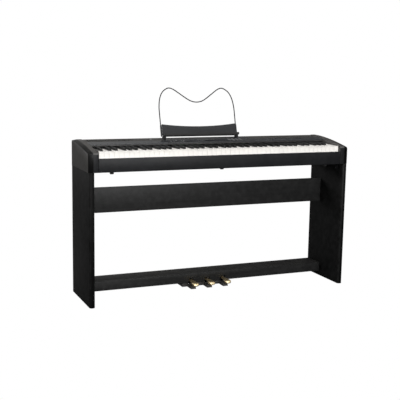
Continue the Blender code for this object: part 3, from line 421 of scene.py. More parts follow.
def finished(name, bm, body, skin, stands_for=(), smooth=35.0, frame_of=None):
    """Makes the piece: faces outwards, smooth below an angle, riding on its body."""
    if frame_of:
        bmesh.ops.transform(bm, matrix=frame_of, verts=bm.verts)
    bmesh.ops.recalc_face_normals(bm, faces=bm.faces)
    mesh = bpy.data.meshes.new(name)
    bm.to_mesh(mesh)
    bm.free()
    mesh.shade_smooth()
    mesh.set_sharp_from_angle(angle=math.radians(smooth))
    mesh.materials.append(skin)
    piece = bpy.data.objects.new(name, mesh)
    scene.collection.objects.link(piece)
    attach(piece, body)
    if stands_for:
        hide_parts(*stands_for)
    return piece


def eased(node, width, steps=2, sharper=25.0):
    """A welded copy of a frame solid, as a bmesh, with its sharp edges rounded."""
    bm = bmesh.new()
    bm.from_mesh(frame["nodes"][node].data)
    bmesh.ops.remove_doubles(bm, verts=bm.verts, dist=1e-6)
    bmesh.ops.dissolve_limit(bm, angle_limit=math.radians(0.5), verts=bm.verts, edges=bm.edges)
    limit = math.radians(sharper)
    rounding(bm, [e for e in bm.edges if len(e.link_faces) == 2 and e.calc_face_angle(0.0) > limit],
             width, steps)
    return bm


# %% [markdown]
# ## Studio
# Two wide softboxes, overhead and in front, do most of the work. Weaker ones low in
# front, on both sides and behind open up the shadows. The floor and the surround are
# pure white to the camera and dimmer as light sources, so dark panels keep their
# contrast. The surround is brightest behind the instrument, like a lit backdrop.

# %% Surround, floor and lights
world = bpy.data.worlds.new("studio")
world.use_nodes = True
scene.world = world
tree = world.node_tree
tree.nodes.clear()
BACKDROP = (0.09, 0.99, 0.08)
looking = add(tree, "TexCoord").outputs["Generated"]
height = add(tree, "SeparateXYZ", {0: looking}).outputs["Z"]
towards = add(tree, "VectorMath", {0: looking, 1: BACKDROP}, operation="DOT_PRODUCT").outputs["Value"]
glow = times(tree, spread(tree, height, -0.01, 0.9, 0.10, 0.85), spread(tree, towards, 0.90, 0.985, 0.15, 1.30))
seen = add(tree, "Background", {"Color": rgb(1.0), "Strength": 1.0}).outputs[0]
lit = add(tree, "Background", {"Color": rgb(1.0, (1.0, 0.99, 0.97)), "Strength": glow}).outputs[0]
is_camera = add(tree, "LightPath").outputs["Is Camera Ray"]
sky = add(tree, "MixShader", {0: is_camera, 1: lit, 2: seen}).outputs[0]
add(tree, "OutputWorld", {"Surface": sky})
scene.view_settings.view_transform = "Standard"

paper = bpy.data.materials.new("studio_floor")
paper.use_nodes = True
tree = paper.node_tree
tree.nodes.clear()
bounce = add(tree, "BsdfDiffuse", {"Color": rgb(0.13)}).outputs[0]
bright = add(tree, "Emission", {"Color": rgb(1.0), "Strength": 1.0}).outputs[0]
is_camera = add(tree, "LightPath").outputs["Is Camera Ray"]
both = add(tree, "MixShader", {0: is_camera, 1: bounce, 2: bright}).outputs[0]
add(tree, "OutputMaterial", {"Surface": both})
bm = bmesh.new()
bmesh.ops.create_grid(bm, x_segments=2, y_segments=2, size=9.0)
bmesh.ops.translate(bm, vec=(0, 0, -0.0002), verts=bm.verts)
ground = bpy.data.meshes.new("studio_floor")
bm.to_mesh(ground)
bm.free()
ground.materials.append(paper)
floor = bpy.data.objects.new("studio_floor", ground)
scene.collection.objects.link(floor)


def softbox(name, spot, aim, width, depth, power):
    """A lamp aimed at a point, in metres and watts."""
    lamp = bpy.data.lights.new(name, "AREA")
    lamp.shape = "RECTANGLE"
    lamp.size, lamp.size_y, lamp.energy = width, depth, power
    made = bpy.data.objects.new(name, lamp)
    facing = (Vector(aim) - Vector(spot)).to_track_quat("-Z", "Y")
    made.matrix_world = Matrix.Translation(spot) @ facing.to_matrix().to_4x4()
    made.visible_camera = False
    scene.collection.objects.link(made)


softbox("overhead", (0.0, -0.7, 3.0), (0.0, 0.0, 0.6), 4.0, 2.4, 78.0)
softbox("front", (-0.4, -5.2, 1.9), (0.0, 0.0, 0.6), 3.6, 2.0, 245.0)
softbox("low_front", (-2.8, -4.2, 0.8), (0.2, 0.0, 0.4), 2.0, 1.0, 14.0)
softbox("left", (-4.0, -1.2, 2.7), (-0.6, 0.0, 0.5), 2.4, 2.0, 60.0)
softbox("rear", (-3.0, 3.6, 2.2), (0.2, 0.0, 0.4), 1.8, 1.8, 50.0)
softbox("right", (3.6, -1.6, 2.6), (0.0, 0.0, 0.5), 1.8, 2.0, 20.0)
print("lights:", len(bpy.data.lights))

# %% [markdown]
# ## Frames to measure from
# Pieces on the case are placed from the key slip's lower front edge, those on the
# deck from the deck's front edge, which slopes, and those on the music rest from
# the foot of its leaning plate.

# %% Frames
slip_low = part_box("key_slip")[0]
CASE = Matrix.Translation((0.0, slip_low.y, slip_low.z))
DECK_SLOPE = math.atan2(0.0115, 0.125)
DECK = CASE @ Matrix.Translation((0.0, 0.165, 0.1090)) @ Matrix.Rotation(DECK_SLOPE, 4, "X")
REST_LEAN = math.radians(16)
REST_FOOT = (-0.026, STAND_FRONT + 0.270, slip_low.z + 0.1285)
REST = Matrix.Translation(REST_FOOT) @ Matrix.Rotation(-REST_LEAN, 4, "X")
print("deck starts at", [round(v, 4) for v in DECK.translation])

# %% [markdown]
# ## Fasteners
# Flat-pack furniture is held by screws and hidden cams. A pan-head screw is a
# short cone with an inset, sunk drive; a cam cap is a shallow disc with a rounded
# rim.

# %% Screws and caps
def aimed(spot, normal):
    """A frame at a spot whose Z looks along the normal."""
    return Matrix.Translation(spot) @ Vector(normal).to_track_quat("Z", "Y").to_matrix().to_4x4()


def add_disc(bm, where, radius, height, sides=16, lip=0.0003):
    """A shallow round cap with a rounded rim, standing on its frame's XY plane."""
    verts = bmesh.ops.create_cone(
        bm, cap_ends=True, segments=sides, radius1=radius, radius2=radius, depth=height
    )["verts"]
    bmesh.ops.translate(bm, vec=(0, 0, height / 2), verts=verts)
    rim = edges_of(verts, lambda edge: min(vert.co.z for vert in edge.verts) > height * 0.99)
    bmesh.ops.transform(bm, matrix=where, verts=verts)
    rounding(bm, rim, lip, 2)


def add_screw(bm, where, radius=0.0035, height=0.0016):
    """A pan-head screw with a sunk round drive."""
    part, sides = bmesh.new(), 12
    bmesh.ops.create_cone(
        part, cap_ends=True, segments=sides, radius1=radius, radius2=radius * 0.82, depth=height
    )
    bmesh.ops.translate(part, vec=(0, 0, height / 2), verts=part.verts)
    part.normal_update()
    bmesh.ops.inset_region(part, faces=upper_faces(part), thickness=radius * 0.38)
    sink(part, upper_faces(part, lambda face: len(face.verts) == sides), height * 0.6)
    bmesh.ops.transform(part, matrix=where, verts=part.verts)
    pour(bm, part)


# %% [markdown]
# ## The stand
# Two side panels, a cross panel and a low rail, cut from laminate-faced board. The
# boards' arrises are slightly eased, and the front edges carry a darker banding.
# Easing a copy of each solid keeps its exact size.

# %% Side panels
ARRIS = 0.0008


def band_front(piece, skin):
    """Gives the faces that look forwards a second finish."""
    piece.data.materials.append(skin)
    for face in piece.data.polygons:
        if face.normal.y < -0.9:
            face.material_index = 1


for name in ("left_side_panel", "right_side_panel"):
    side = finished(name.replace("side", "laminated"), eased(name, ARRIS), STAND, upright,
                    [name])
    band_front(side, banding)
for name in ("cross_panel", "rail_front_board", "rail_top_board"):
    finished(name + "_laminated", eased(name, ARRIS), STAND, lengthways, [name])

# %% Brackets, cam caps and screws
panel_low, panel_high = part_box("right_side_panel")
panel_inner, under = panel_low.x, panel_high.z - 0.0006
ARM, SHEET, HALF_WIDE, CLEAR = 0.032, 0.0020, 0.011, 0.0004
brackets = bmesh.new()
screws = bmesh.new()
for side in (-1, 1):
    for back in (0.060, 0.245):
        wall, y = side * panel_inner, STAND_FRONT + back
        near, thick, far = (wall - side * reach for reach in (CLEAR, CLEAR + SHEET, ARM))
        soft_block(brackets, (near, y - HALF_WIDE, under - ARM), (thick, y + HALF_WIDE, under), 0.0005)
        soft_block(brackets, (near, y - HALF_WIDE, under - SHEET), (far, y + HALF_WIDE, under), 0.0005)
        add_screw(screws, aimed((thick, y, under - 0.021), (-side, 0, 0)))
        add_screw(screws, aimed((wall - side * 0.0215, y, under - SHEET), (0, 0, -1)))
finished("case_brackets", brackets, STAND, wire_skin)
caps = bmesh.new()
CAP_INSET, CAP_RADIUS, CAP_HEIGHT = 0.034, 0.0085, 0.0009
cross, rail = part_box("cross_panel"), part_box("rail_front_board")
for side in (-1, 1):
    for (low, high), share, drop in ((cross, 0.25, 0.0), (cross, 0.75, 0.0), (rail, 0.5, 0.006)):
        spot = (side * (high.x - CAP_INSET), high.y, low.z + (high.z - low.z) * share - drop)
        add_disc(caps, aimed(spot, (0, 1, 0)), CAP_RADIUS, CAP_HEIGHT, 20)
finished("cam_caps", caps, STAND, dark_button)
print("panel's inner face at", round(panel_inner, 4))

# %% [markdown]
# ## The case
# The end blocks are thick mouldings with a wide chamfer, near-black as painted shade for its
# dark reflection, and narrow cheeks stand between them and the outer keys. The key slip closes
# the front below the keys. The bottom shell carries round feet and the screws that hold the shells.

# %% End blocks, slip and feet
for name in ("left_end_block", "right_end_block"):
    end = finished(name + "_moulded", eased(name, 0.0010, 2, 30.0), STAND, case_skin,
                   [name], smooth=28.0)
    end.data.materials.append(chamfer_shade_skin)
    end.data.materials.append(slip_skin)
    # Sloped chamfer faces take the near-black finish, which is painted shade; faces looking forwards take the
    # slip's finish.
    for face in end.data.polygons:
        if 0.1 < abs(face.normal.x) < 0.95:
            face.material_index = 1
        elif face.normal.y < -0.8:
            face.material_index = 2
cheeks = bmesh.new()
for side in (-1, 1):
    soft_block(cheeks, (side * 0.6154, 0.012, 0.066), (side * 0.6122, 0.150, 0.0985), 0.0012, 2, CASE)
finished("key_cheeks", cheeks, STAND, case_skin)
finished("key_slip_moulded", eased("key_slip", 0.0006, 2), STAND, slip_skin, ["key_slip"])
for name in sorted(frame["nodes"]):
    if name.startswith("foot_"):
        finished(name + "_rubber", eased(name, 0.0012, 3), STAND, rubber_skin, [name])

case_low, case_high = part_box("bottom_case")
for x in (-0.600, -0.300, 0.0, 0.300, 0.600):
    for back in (0.018, 0.150, 0.284):
        if abs(x) < 0.1 and back < 0.1:
            continue
        spot = CASE @ Vector((x, back, 0.0))
        add_screw(screws, aimed((spot.x, spot.y, case_low.z), (0, 0, -1)), 0.0038, 0.0012)
for x in (-0.560, -0.280, 0.120, 0.560):
    spot = CASE @ Vector((x, 0.0, 0.090))
    add_screw(screws, aimed((x, case_high.y, spot.z), (0, 1, 0)), 0.0032, 0.0012)
finished("case_screws", screws, STAND, black_steel)
print("case bottom at", round(case_low.z, 4))

# %% [markdown]
# ## White keys
# A white key is a wide head, a narrow tail that passes between the black keys, and
# a thin lip that overhangs the front. It is drawn from one block: back for the tail,
# down for the skirt and forwards for the lip. Rounded edges separate the keys.

# %% Key layout
PITCH, GAP, WHITE_COUNT = 0.0235, 0.001, 52
SHARP_SHIFT = {0: -0.003, 1: 0.003, 3: -0.004, 4: 0.0, 5: 0.004}
KEY_TOP, KEY_BODY, TAIL_END = 0.0886, 0.018, 0.2282
HEAD_FRONT, HEAD_BACK = 0.0125, 0.0625
SHARP_WIDTH, SHARP_TOP, SHARP_FRONT, SHARP_BACK = 0.0115, 0.1010, 0.0635, 0.1625


def white_left(index):
    return (index - WHITE_COUNT / 2) * PITCH


def sharp_after(index):
    """The centre of the black key behind this white key's right side, or None."""
    note = (index + 5) % 7
    if index < 0 or index == WHITE_COUNT - 1 or note not in SHARP_SHIFT:
        return None
    return white_left(index + 1) + SHARP_SHIFT[note]


def tail_sides(index):
    left = white_left(index) + GAP / 2
    right = left + PITCH - GAP
    keep = SHARP_WIDTH / 2 + 0.0011
    if sharp_after(index - 1) is not None:
        left = sharp_after(index - 1) + keep
    if sharp_after(index) is not None:
        right = sharp_after(index) - keep
    return left, right


# %% One white key
def add_white_key(bm, index):
    part = bmesh.new()
    left = white_left(index) + GAP / 2
    right = left + PITCH - GAP
    tail = tail_sides(index)
    front, lip, plate = HEAD_FRONT + 0.0009, 0.0060, 0.0028
    block(part, (left, front, KEY_TOP - KEY_BODY), (right, HEAD_BACK, KEY_TOP))
    for x in tail:
        if left + 1e-5 < x < right - 1e-5:
            slice_at(part, (x, 0, 0), (1, 0, 0))
    slice_at(part, (0, front + lip, 0), (0, 1, 0))
    part.normal_update()
    behind = [f for f in part.faces if f.normal.y > 0.5 and tail[0] < f.calc_center_median().x < tail[1]]
    draw_out(part, behind, (0, TAIL_END - HEAD_BACK, 0))
    skirt = [f for f in part.faces if f.normal.z < -0.5 and f.calc_center_median().y < front + lip]
    draw_out(part, skirt, (0, 0, -0.0095))
    slice_at(part, (0, 0, KEY_TOP - plate), (0, 0, 1))
    edge = [f for f in part.faces if f.normal.y < -0.5 and f.calc_center_median().z > KEY_TOP - plate]
    draw_out(part, edge, (0, HEAD_FRONT - front, 0))
    bmesh.ops.remove_doubles(part, verts=part.verts, dist=1e-7)
    sharp = [e for e in part.edges if len(e.link_faces) == 2 and e.calc_face_angle(0.0) > 0.6
             and (e.verts[0].co.z + e.verts[1].co.z) / 2 > KEY_TOP - 0.004]
    rounding(part, sharp, 0.0006, 2)
    pour(bm, part)


# %% [markdown]
# ## Black keys
# A black key is a tapered cap: narrower at the top, with a sloping front and a
# rounded crown. Only the upper edges are rounded, because the foot is hidden.

# %% One black key
def add_black_key(bm, centre):
    part = bmesh.new()
    half, shoulder = SHARP_WIDTH / 2, KEY_TOP - 0.002
    block(part, (centre - half, SHARP_FRONT, KEY_TOP - KEY_BODY), (centre + half, SHARP_BACK, SHARP_TOP))
    slice_at(part, (0, 0, shoulder), (0, 0, 1))
    for vert in part.verts:
        if vert.co.z > SHARP_TOP - 1e-6:
            vert.co.x = centre + (vert.co.x - centre) * 0.84
            if vert.co.y < SHARP_FRONT + 1e-6:
                vert.co.y += 0.005
    part.normal_update()
    draw_out(part, [f for f in part.faces if f.normal.y > 0.5 and f.calc_center_median().z < shoulder],
             (0, TAIL_END - SHARP_BACK, 0))
    crown = [e for e in part.edges if len(e.link_faces) == 2 and e.calc_face_angle(0.0) > 0.6
             and (e.verts[0].co.z + e.verts[1].co.z) / 2 > shoulder + 0.002]
    rounding(part, crown, 0.0014, 3)
    pour(bm, part)


def add_key_strip(bm, centres, up):
    """The strip behind a register's tails, with a tooth to each key."""
    block(bm, (min(centres) - 0.004, 0.2295, up), (max(centres) + 0.004, 0.2360, up + 0.003))
    for x in centres:
        block(bm, (x - 0.0015, TAIL_END - 0.0007, up + 0.0002), (x + 0.0015, 0.2297, up + 0.0028))


# %% The whole keyboard
MIDDLE_C = 23
registers = {"bass": range(MIDDLE_C), "treble": range(MIDDLE_C + 7, WHITE_COUNT)}
for name, members in registers.items():
    whites = bmesh.new()
    blacks = bmesh.new()
    for index in members:
        add_white_key(whites, index)
        if sharp_after(index) is not None:
            add_black_key(blacks, sharp_after(index))
    add_key_strip(whites, [sum(tail_sides(index)) / 2 for index in members], 0.0712)
    add_key_strip(blacks, [sharp_after(i) for i in members if sharp_after(i) is not None], 0.0762)
    body = name + "_white_keys"
    finished(name + "_white_caps", whites, body, white_skin, [body], frame_of=CASE)
    body = name + "_black_keys"
    finished(name + "_black_caps", blacks, body, black_skin, [body], frame_of=CASE)
for step, note in enumerate("cdefgab"):
    index = MIDDLE_C + step
    single = bmesh.new()
    add_white_key(single, index)
    body = f"key_{note}4"
    finished(f"cap_{note}4", single, body, white_skin, [body], frame_of=CASE)
    if sharp_after(index) is not None:
        single = bmesh.new()
        add_black_key(single, sharp_after(index))
        body = f"key_{note}_sharp_4"
        finished(f"cap_{note}_sharp_4", single, body, black_skin, [body], frame_of=CASE)
print("white keys span", round(PITCH * WHITE_COUNT, 4), "m")

# %% [markdown]
# ## The control deck
# Along the deck's front runs a glossy overlay, and in the middle a larger glossy
# panel carries the controls. The overlay is a thin plate with a rounded edge; the
# panel keeps its solid, because its holes already fit the buttons. A rounded nosing
# closes the deck above the keys.

# %% Overlay strips and nosing
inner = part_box("right_end_block")[0].x - 0.0006
overlay = bmesh.new()
for side in (-1, 1):
    soft_block(overlay, (side * inner, 0.0022, 0.0001), (side * 0.2256, 0.0560, 0.0008), 0.0003, 1, DECK)
finished("deck_overlay", overlay, STAND, gloss_skin)
nosing = bmesh.new()
soft_block(nosing, (-inner, -0.0005, -0.0082), (inner, 0.0020, 0.0006), 0.0010, 3, DECK)
finished("deck_nosing", nosing, STAND, nosing_skin)
print("overlay half width", round(inner, 4))

# %% [markdown]
# ## Speaker grilles
# Each long opening tapers towards the middle. Its insert is a rim that follows the
# outline, thin bars across it, and a cloth behind.

# %% Grilles
OUTER, SHOULDER, TIP, GRILLE_LOW, GRILLE_HIGH = 0.598, 0.420, 0.368, 0.072, 0.118
BAR_PITCH, BAR_HALF = 0.0042, 0.0009


def grille_edge(x):
    """The front edge of the opening at this distance from the middle."""
    if x >= SHOULDER:
        return GRILLE_LOW
    reach = min(1.0, (SHOULDER - x) / (SHOULDER - TIP))
    return GRILLE_HIGH - (GRILLE_HIGH - GRILLE_LOW) * math.sqrt(1.0 - reach * reach)


def grille_outline(bm, side, up):
    steps = 9
    spots = [(OUTER, GRILLE_LOW)]
    for i in range(steps + 1):
        reach = math.sin(math.pi / 2 * i / steps)
        x = SHOULDER - (SHOULDER - TIP) * reach
        spots.append((x, grille_edge(x)))
    spots.append((OUTER, GRILLE_HIGH))
    return bm.faces.new([bm.verts.new((side * x, y, up)) for x, y in spots])


for label, side in (("left", -1), ("right", 1)):
    rim = bmesh.new()
    outline = grille_outline(rim, side, 0.0016)
    bmesh.ops.recalc_face_normals(rim, faces=rim.faces)
    bmesh.ops.inset_region(rim, faces=[outline], thickness=0.0016)
    ring = [face for face in rim.faces if face is not outline]
    bmesh.ops.delete(rim, geom=[outline], context="FACES")
    bmesh.ops.solidify(rim, geom=ring, thickness=0.0022)
    x = TIP + 0.0062
    bars = 0
    while x < OUTER - 0.003:
        low = (side * x - BAR_HALF, grille_edge(x) + 0.0010, -0.0004)
        soft_block(rim, low, (side * x + BAR_HALF, GRILLE_HIGH - 0.0010, 0.0012), 0.0004, 1)
        x += BAR_PITCH
        bars += 1
    cloth = bmesh.new()
    face = grille_outline(cloth, side, -0.0004)
    bmesh.ops.solidify(cloth, geom=[face], thickness=0.0006)
    name = "speaker_grille_" + label
    finished(f"grille_bars_{label}", rim, STAND, case_skin, [name], frame_of=DECK)
    finished(f"grille_cloth_{label}", cloth, STAND, cloth_skin, frame_of=DECK)
print("bars in each grille:", bars)

# %% [markdown]
# ## Buttons, lamps and the display
# A push button's cap is a small block with rounded corners and a slightly dished
# top, so its rim catches the light. The caps of one group stand on a
# common web under the deck and move together. A lamp window sits by each voice
# button, and the display shows three unlit digits of seven segments.

# %% Buttons
CAP_WIDTH, CAP_DEPTH, CAP_TOP, WEB = 0.0105, 0.0060, 0.0037, -0.0110
VOICES = [(-0.184 + 0.0195 * i, 0.098) for i in range(6)]
FUNCTIONS = [(0.104 + 0.0195 * i, row) for i in range(4) for row in (0.028, 0.046)]


def add_button(bm, x, y):
    part = bmesh.new()
    made = block(part, (x - CAP_WIDTH / 2, y - CAP_DEPTH / 2, WEB + 0.0004),
                 (x + CAP_WIDTH / 2, y + CAP_DEPTH / 2, CAP_TOP))
    rounding(part, edges_of(made, lambda e: abs(e.verts[0].co.z - e.verts[1].co.z) > 0.001), 0.0012, 3)
    part.normal_update()
    bmesh.ops.inset_region(part, faces=upper_faces(part), thickness=0.0008)
    sink(part, upper_faces(part, lambda face: face.calc_area() > CAP_WIDTH * CAP_DEPTH * 0.4), 0.0004)
    rim = [e for e in part.edges if min(v.co.z for v in e.verts) > CAP_TOP - 1e-6]
    rounding(part, rim, 0.0002, 1)
    pour(bm, part)


for name, spots in (("voice_buttons", VOICES), ("function_buttons", FUNCTIONS)):
    caps = bmesh.new()
    for x, y in spots:
        add_button(caps, x, y)
    xs, ys = [x for x, _ in spots], [y for _, y in spots]
    low = (min(xs) - CAP_WIDTH / 2 - 0.001, min(ys) - CAP_DEPTH / 2 - 0.001, WEB)
    high = (max(xs) + CAP_WIDTH / 2 + 0.001, max(ys) + CAP_DEPTH / 2 + 0.001, WEB + 0.0015)
    soft_block(caps, low, high, 0.0003, 1)
    finished(name.replace("buttons", "button_caps"), caps, name, button_skin, [name],
             frame_of=DECK)

# %% Power button
POWER, POWER_RADIUS, POWER_SIDES, POWER_TALL, POWER_MIDDLE = (0.203, 0.056), 0.0055, 28, 0.0105, -0.0030
knob = bmesh.new()
bmesh.ops.create_cone(
    knob, cap_ends=True, segments=POWER_SIDES, radius1=POWER_RADIUS, radius2=POWER_RADIUS, depth=POWER_TALL
)
bmesh.ops.translate(knob, vec=(*POWER, POWER_MIDDLE), verts=knob.verts)
knob.normal_update()
bmesh.ops.inset_region(knob, faces=upper_faces(knob), thickness=0.0012)
sink(knob, upper_faces(knob, lambda face: len(face.verts) == POWER_SIDES), 0.0004)
rim_height = POWER_MIDDLE + POWER_TALL / 2 - 0.00001
rounding(knob, [e for e in knob.edges if min(v.co.z for v in e.verts) > rim_height], 0.0003, 2)
finished("power_button_cap", knob, "power_button", dark_button, ["power_button"],
         frame_of=DECK)

# %% Lamps and printed lines
PANEL_TOP = 0.0015
lamps = bmesh.new()
for x, y in VOICES:
    add_disc(lamps, Matrix.Translation((x, y - 0.0078, PANEL_TOP)), 0.0011, 0.0003, 10, 0.0001)
for x, y in FUNCTIONS:
    add_disc(lamps, Matrix.Translation((x, y + 0.0062, PANEL_TOP)), 0.0008, 0.0003, 10, 0.0001)
finished("indicator_lamps", lamps, STAND, lamp_off, frame_of=DECK)
ink = bmesh.new()


def add_line(bm, low, high, up):
    """A printed line: a hair-thin plate with a rounded rim."""
    soft_block(bm, (low[0], low[1], up), (high[0], high[1], up + 0.0001), 0.00004, 1)


for x, y in VOICES:
    add_line(ink, (x - 0.0045, y + 0.0052), (x + 0.0045, y + 0.0057), PANEL_TOP)
for x in (-0.202, -0.190, -0.178, -0.150, -0.138):
    add_line(ink, (x - 0.0030, 0.0340), (x + 0.0030, 0.0352), PANEL_TOP)
    add_line(ink, (x - 0.0022, 0.0290), (x + 0.0022, 0.0300), PANEL_TOP)
for x, y in FUNCTIONS:
    add_line(ink, (x - 0.0040, y - 0.0054), (x + 0.0040, y - 0.0049), PANEL_TOP)
SLIDER_X, SLOT = -0.293, (0.056, 0.108)
for i in range(9):
    y = SLOT[0] + 0.003 + (SLOT[1] - SLOT[0] - 0.006) * i / 8
    reach = 0.0045 if i % 4 == 0 else 0.0028
    add_line(ink, (SLIDER_X + 0.0082, y - 0.0002), (SLIDER_X + 0.0082 + reach, y + 0.0002), 0.0)
add_line(ink, (POWER[0] - 0.0004, POWER[1] + 0.0075), (POWER[0] + 0.0004, POWER[1] + 0.0105), PANEL_TOP)
finished("printed_marks", ink, STAND, print_ink, frame_of=DECK)

# %% Display
(x0, y0), (x1, y1) = (-0.060, 0.028), (0.030, 0.062)
glass = bmesh.new()
soft_block(glass, (x0, y0, 0.0003), (x1, y1, 0.0018), 0.0003, 2)
finished("display_glass", glass, STAND, display_glass, ["display_window"], frame_of=DECK)
digits = bmesh.new()
WIDE, TALL, STROKE, SUNK, PROUD = 0.0052, 0.0090, 0.0008, 0.00178, 0.00186
for k in range(3):
    cx, cy = x0 + 0.0265 + 0.0185 * k, (y0 + y1) / 2
    for up in (-1, 0, 1):
        soft_block(digits, (cx - WIDE + STROKE, cy + up * TALL - STROKE, SUNK),
                   (cx + WIDE - STROKE, cy + up * TALL + STROKE, PROUD), 0.00004, 1)
    for side in (-1, 1):
        for up in (-1, 1):
            soft_block(digits, (cx + side * WIDE - STROKE, cy + up * 0.0011, SUNK),
                       (cx + side * WIDE + STROKE, cy + up * (TALL - 0.0002), PROUD), 0.00004, 1)
finished("display_digits", digits, STAND, segments_skin, frame_of=DECK)

# %% [markdown]
# ## Volume slider
# The cap is a flat finger piece with four ridges, on a thin stem that runs in the
# slot. A low bezel frames the slot.

# %% Slider
REST_Y = 0.070
cap = bmesh.new()
block(cap, (SLIDER_X - 0.0010, REST_Y - 0.0030, -0.0080), (SLIDER_X + 0.0010, REST_Y + 0.0030, 0.0010))
soft_block(cap, (SLIDER_X - 0.0055, REST_Y - 0.0035, 0.0006),
           (SLIDER_X + 0.0055, REST_Y + 0.0035, 0.0046), 0.0007, 3)
for y in (-0.0021, -0.0007, 0.0007, 0.0021):
    soft_block(cap, (SLIDER_X - 0.0046, REST_Y + y - 0.00035, 0.0042),
               (SLIDER_X + 0.0046, REST_Y + y + 0.00035, 0.0060), 0.0003, 2)
finished("slider_cap", cap, "volume_slider", button_skin, ["volume_slider"], frame_of=DECK)
bezel = bmesh.new()
for side in (-1, 1):
    soft_block(bezel, (SLIDER_X + side * 0.0018, SLOT[0] - 0.001, -0.0004),
               (SLIDER_X + side * 0.0026, SLOT[1] + 0.001, 0.0003), 0.0002, 1)
    y = SLOT[0] - 0.0007 if side < 0 else SLOT[1] + 0.0003
    soft_block(bezel, (SLIDER_X - 0.0026, y - 0.0004, -0.0004),
               (SLIDER_X + 0.0026, y + 0.0008, 0.0003), 0.0002, 1)
finished("slider_bezel", bezel, STAND, dark_button, frame_of=DECK)

# %% [markdown]
# ## Music rest
# A low plate with a dipped upper edge and a shelf, moulded in one, with ribs and a
# rubber strip on the shelf, and rubber collars round its two pins. The steel wire is
# bent into two humps: a curve through the same points as the solid, but much
# smoother, made a mesh before it is placed. Each end of it stands in a socket.

# %% Ledge
finished("rest_ledge_moulded", eased("rest_ledge", 0.0006), "music_rest", ledge_skin,
         ["rest_ledge"])
ribs = bmesh.new()
for y in (-0.0310, -0.0265, -0.0220, -0.0175):
    soft_block(ribs, (-0.186, y, 0.0020), (0.186, y + 0.0015, 0.0028), 0.0003, 1, REST)
finished("rest_ribs", ribs, "music_rest", rubber_skin)
strip = bmesh.new()
soft_block(strip, (-0.1965, -0.0415, -0.0040), (0.1965, -0.0392, 0.0085), 0.0008, 2, REST)
for x in (-0.192, 0.192):
    soft_block(strip, (x - 0.008, -0.0210, -0.0105), (x + 0.008, -0.0060, -0.0003), 0.0010, 2, REST)
finished("rest_edge_strip", strip, "music_rest", rubber_skin)

# %% Wire
WIRE_HALF = [
    (0.1995, 0.000), (0.1995, 0.045), (0.2000, 0.100), (0.1993, 0.150), (0.1918, 0.192), (0.1770, 0.222),
    (0.1570, 0.2385), (0.1398, 0.2440), (0.1190, 0.2375), (0.0930, 0.2200), (0.0620, 0.1975),
    (0.0370, 0.1815), (0.0180, 0.1745),
]
WIRE_TALL = 0.231
stretch = WIRE_TALL / math.cos(REST_LEAN) / max(up for _, up in WIRE_HALF)
bends = [(x, up * stretch) for x, up in WIRE_HALF]
bends += [(0.0, 0.1725 * stretch)] + [(-x, up) for x, up in reversed(bends)]


def smooth_line(points, per_span):
    """Points on a smooth curve that passes through the given ones."""
    line = []
    for i in range(len(points) - 1):
        a, b, c, d = (Vector(points[min(max(k, 0), len(points) - 1)]) for k in (i - 1, i, i + 1, i + 2))
        for step in range(per_span):
            t = step / per_span
            bend = (2 * a - 5 * b + 4 * c - d) * t**2 + (3 * b - a - 3 * c + d) * t**3
            line.append(0.5 * (2 * b + (c - a) * t + bend))
    return line + [Vector(points[-1])]


def wire_mesh(name, points, radius, sides=4):
    """A round wire along points, as a bmesh."""
    data = bpy.data.curves.new(name, "CURVE")
    data.dimensions = "3D"
    data.bevel_depth = radius
    data.bevel_resolution = sides
    data.use_fill_caps = True
    spline = data.splines.new("POLY")
    spline.points.add(len(points) - 1)
    for spot, point in zip(spline.points, points):
        spot.co = (*point, 1.0)
    holder = bpy.data.objects.new(name, data)
    scene.collection.objects.link(holder)
    mesh = bpy.data.meshes.new_from_object(holder.evaluated_get(bpy.context.evaluated_depsgraph_get()))
    bm = bmesh.new()
    bm.from_mesh(mesh)
    bmesh.ops.remove_doubles(bm, verts=bm.verts, dist=1e-6)
    bpy.data.objects.remove(holder)
    bpy.data.meshes.remove(mesh)
    return bm


line = [(point.x, 0.0, point.y) for point in smooth_line(bends, 8)]
wire = wire_mesh("rest_wire_bent", line, 0.0025)
finished("rest_wire_bent", wire, "music_rest", wire_skin, ["rest_wire"], smooth=60.0,
         frame_of=REST)
clips = bmesh.new()
for side in (-1, 1):
    soft_block(clips, (side * 0.1962, -0.0060, 0.0030), (side * 0.2024, 0.0042, 0.0560), 0.0015, 3, REST)
finished("rest_clips", clips, "music_rest", ledge_skin)
print("wire points:", len(line))

# %% [markdown]
# ## Pedals
# Three cast brass levers, each with a broad, thick, rounded toe that narrows to a
# flat tail. A lever is a row of rings, each a soft rectangle, bridged from the toe to
# the tail. The springs keep their solid's shape.

# %% Pedals and their box
TOE_HALF, TAIL_HALF, TOE_END, TAIL_START = 0.0165, 0.0080, 0.0165, 0.0825
TOE_TOP, TOE_BOTTOM, TAIL_BOTTOM, NOSE_RADIUS = 0.0035, -0.0112, -0.0035, 0.0135
RING_SIDES = 20
RING_PLACES = (0.0004, 0.0015, 0.0035, 0.0065, 0.0110, 0.0165, 0.0240, 0.0290, 0.0340, 0.0550, 0.0820, 0.1590)


def squared(value, power):
    """Pushes a sine or cosine outwards, which turns a circle into a soft rectangle."""
    return math.copysign(abs(value) ** power, value)


def lever_section(back):
    """Half the lever's width, its top and its bottom, at this distance behind the tip."""
    if back < TOE_END:
        half = TOE_HALF * (1.0 - (1.0 - back / TOE_END) ** 2.6) ** (1 / 2.6)
    else:
        narrowing = (TOE_HALF - TAIL_HALF) * (back - TOE_END) / (TAIL_START - TOE_END)
        half = max(TAIL_HALF, TOE_HALF - narrowing)
    reach = max(NOSE_RADIUS - back, 0.0)
    top = TOE_TOP - (NOSE_RADIUS - math.sqrt(NOSE_RADIUS**2 - reach**2))
    thin = min(max((back - 0.0240) / 0.0100, 0.0), 1.0)
    return half, top, TOE_BOTTOM + (TAIL_BOTTOM - TOE_BOTTOM) * thin


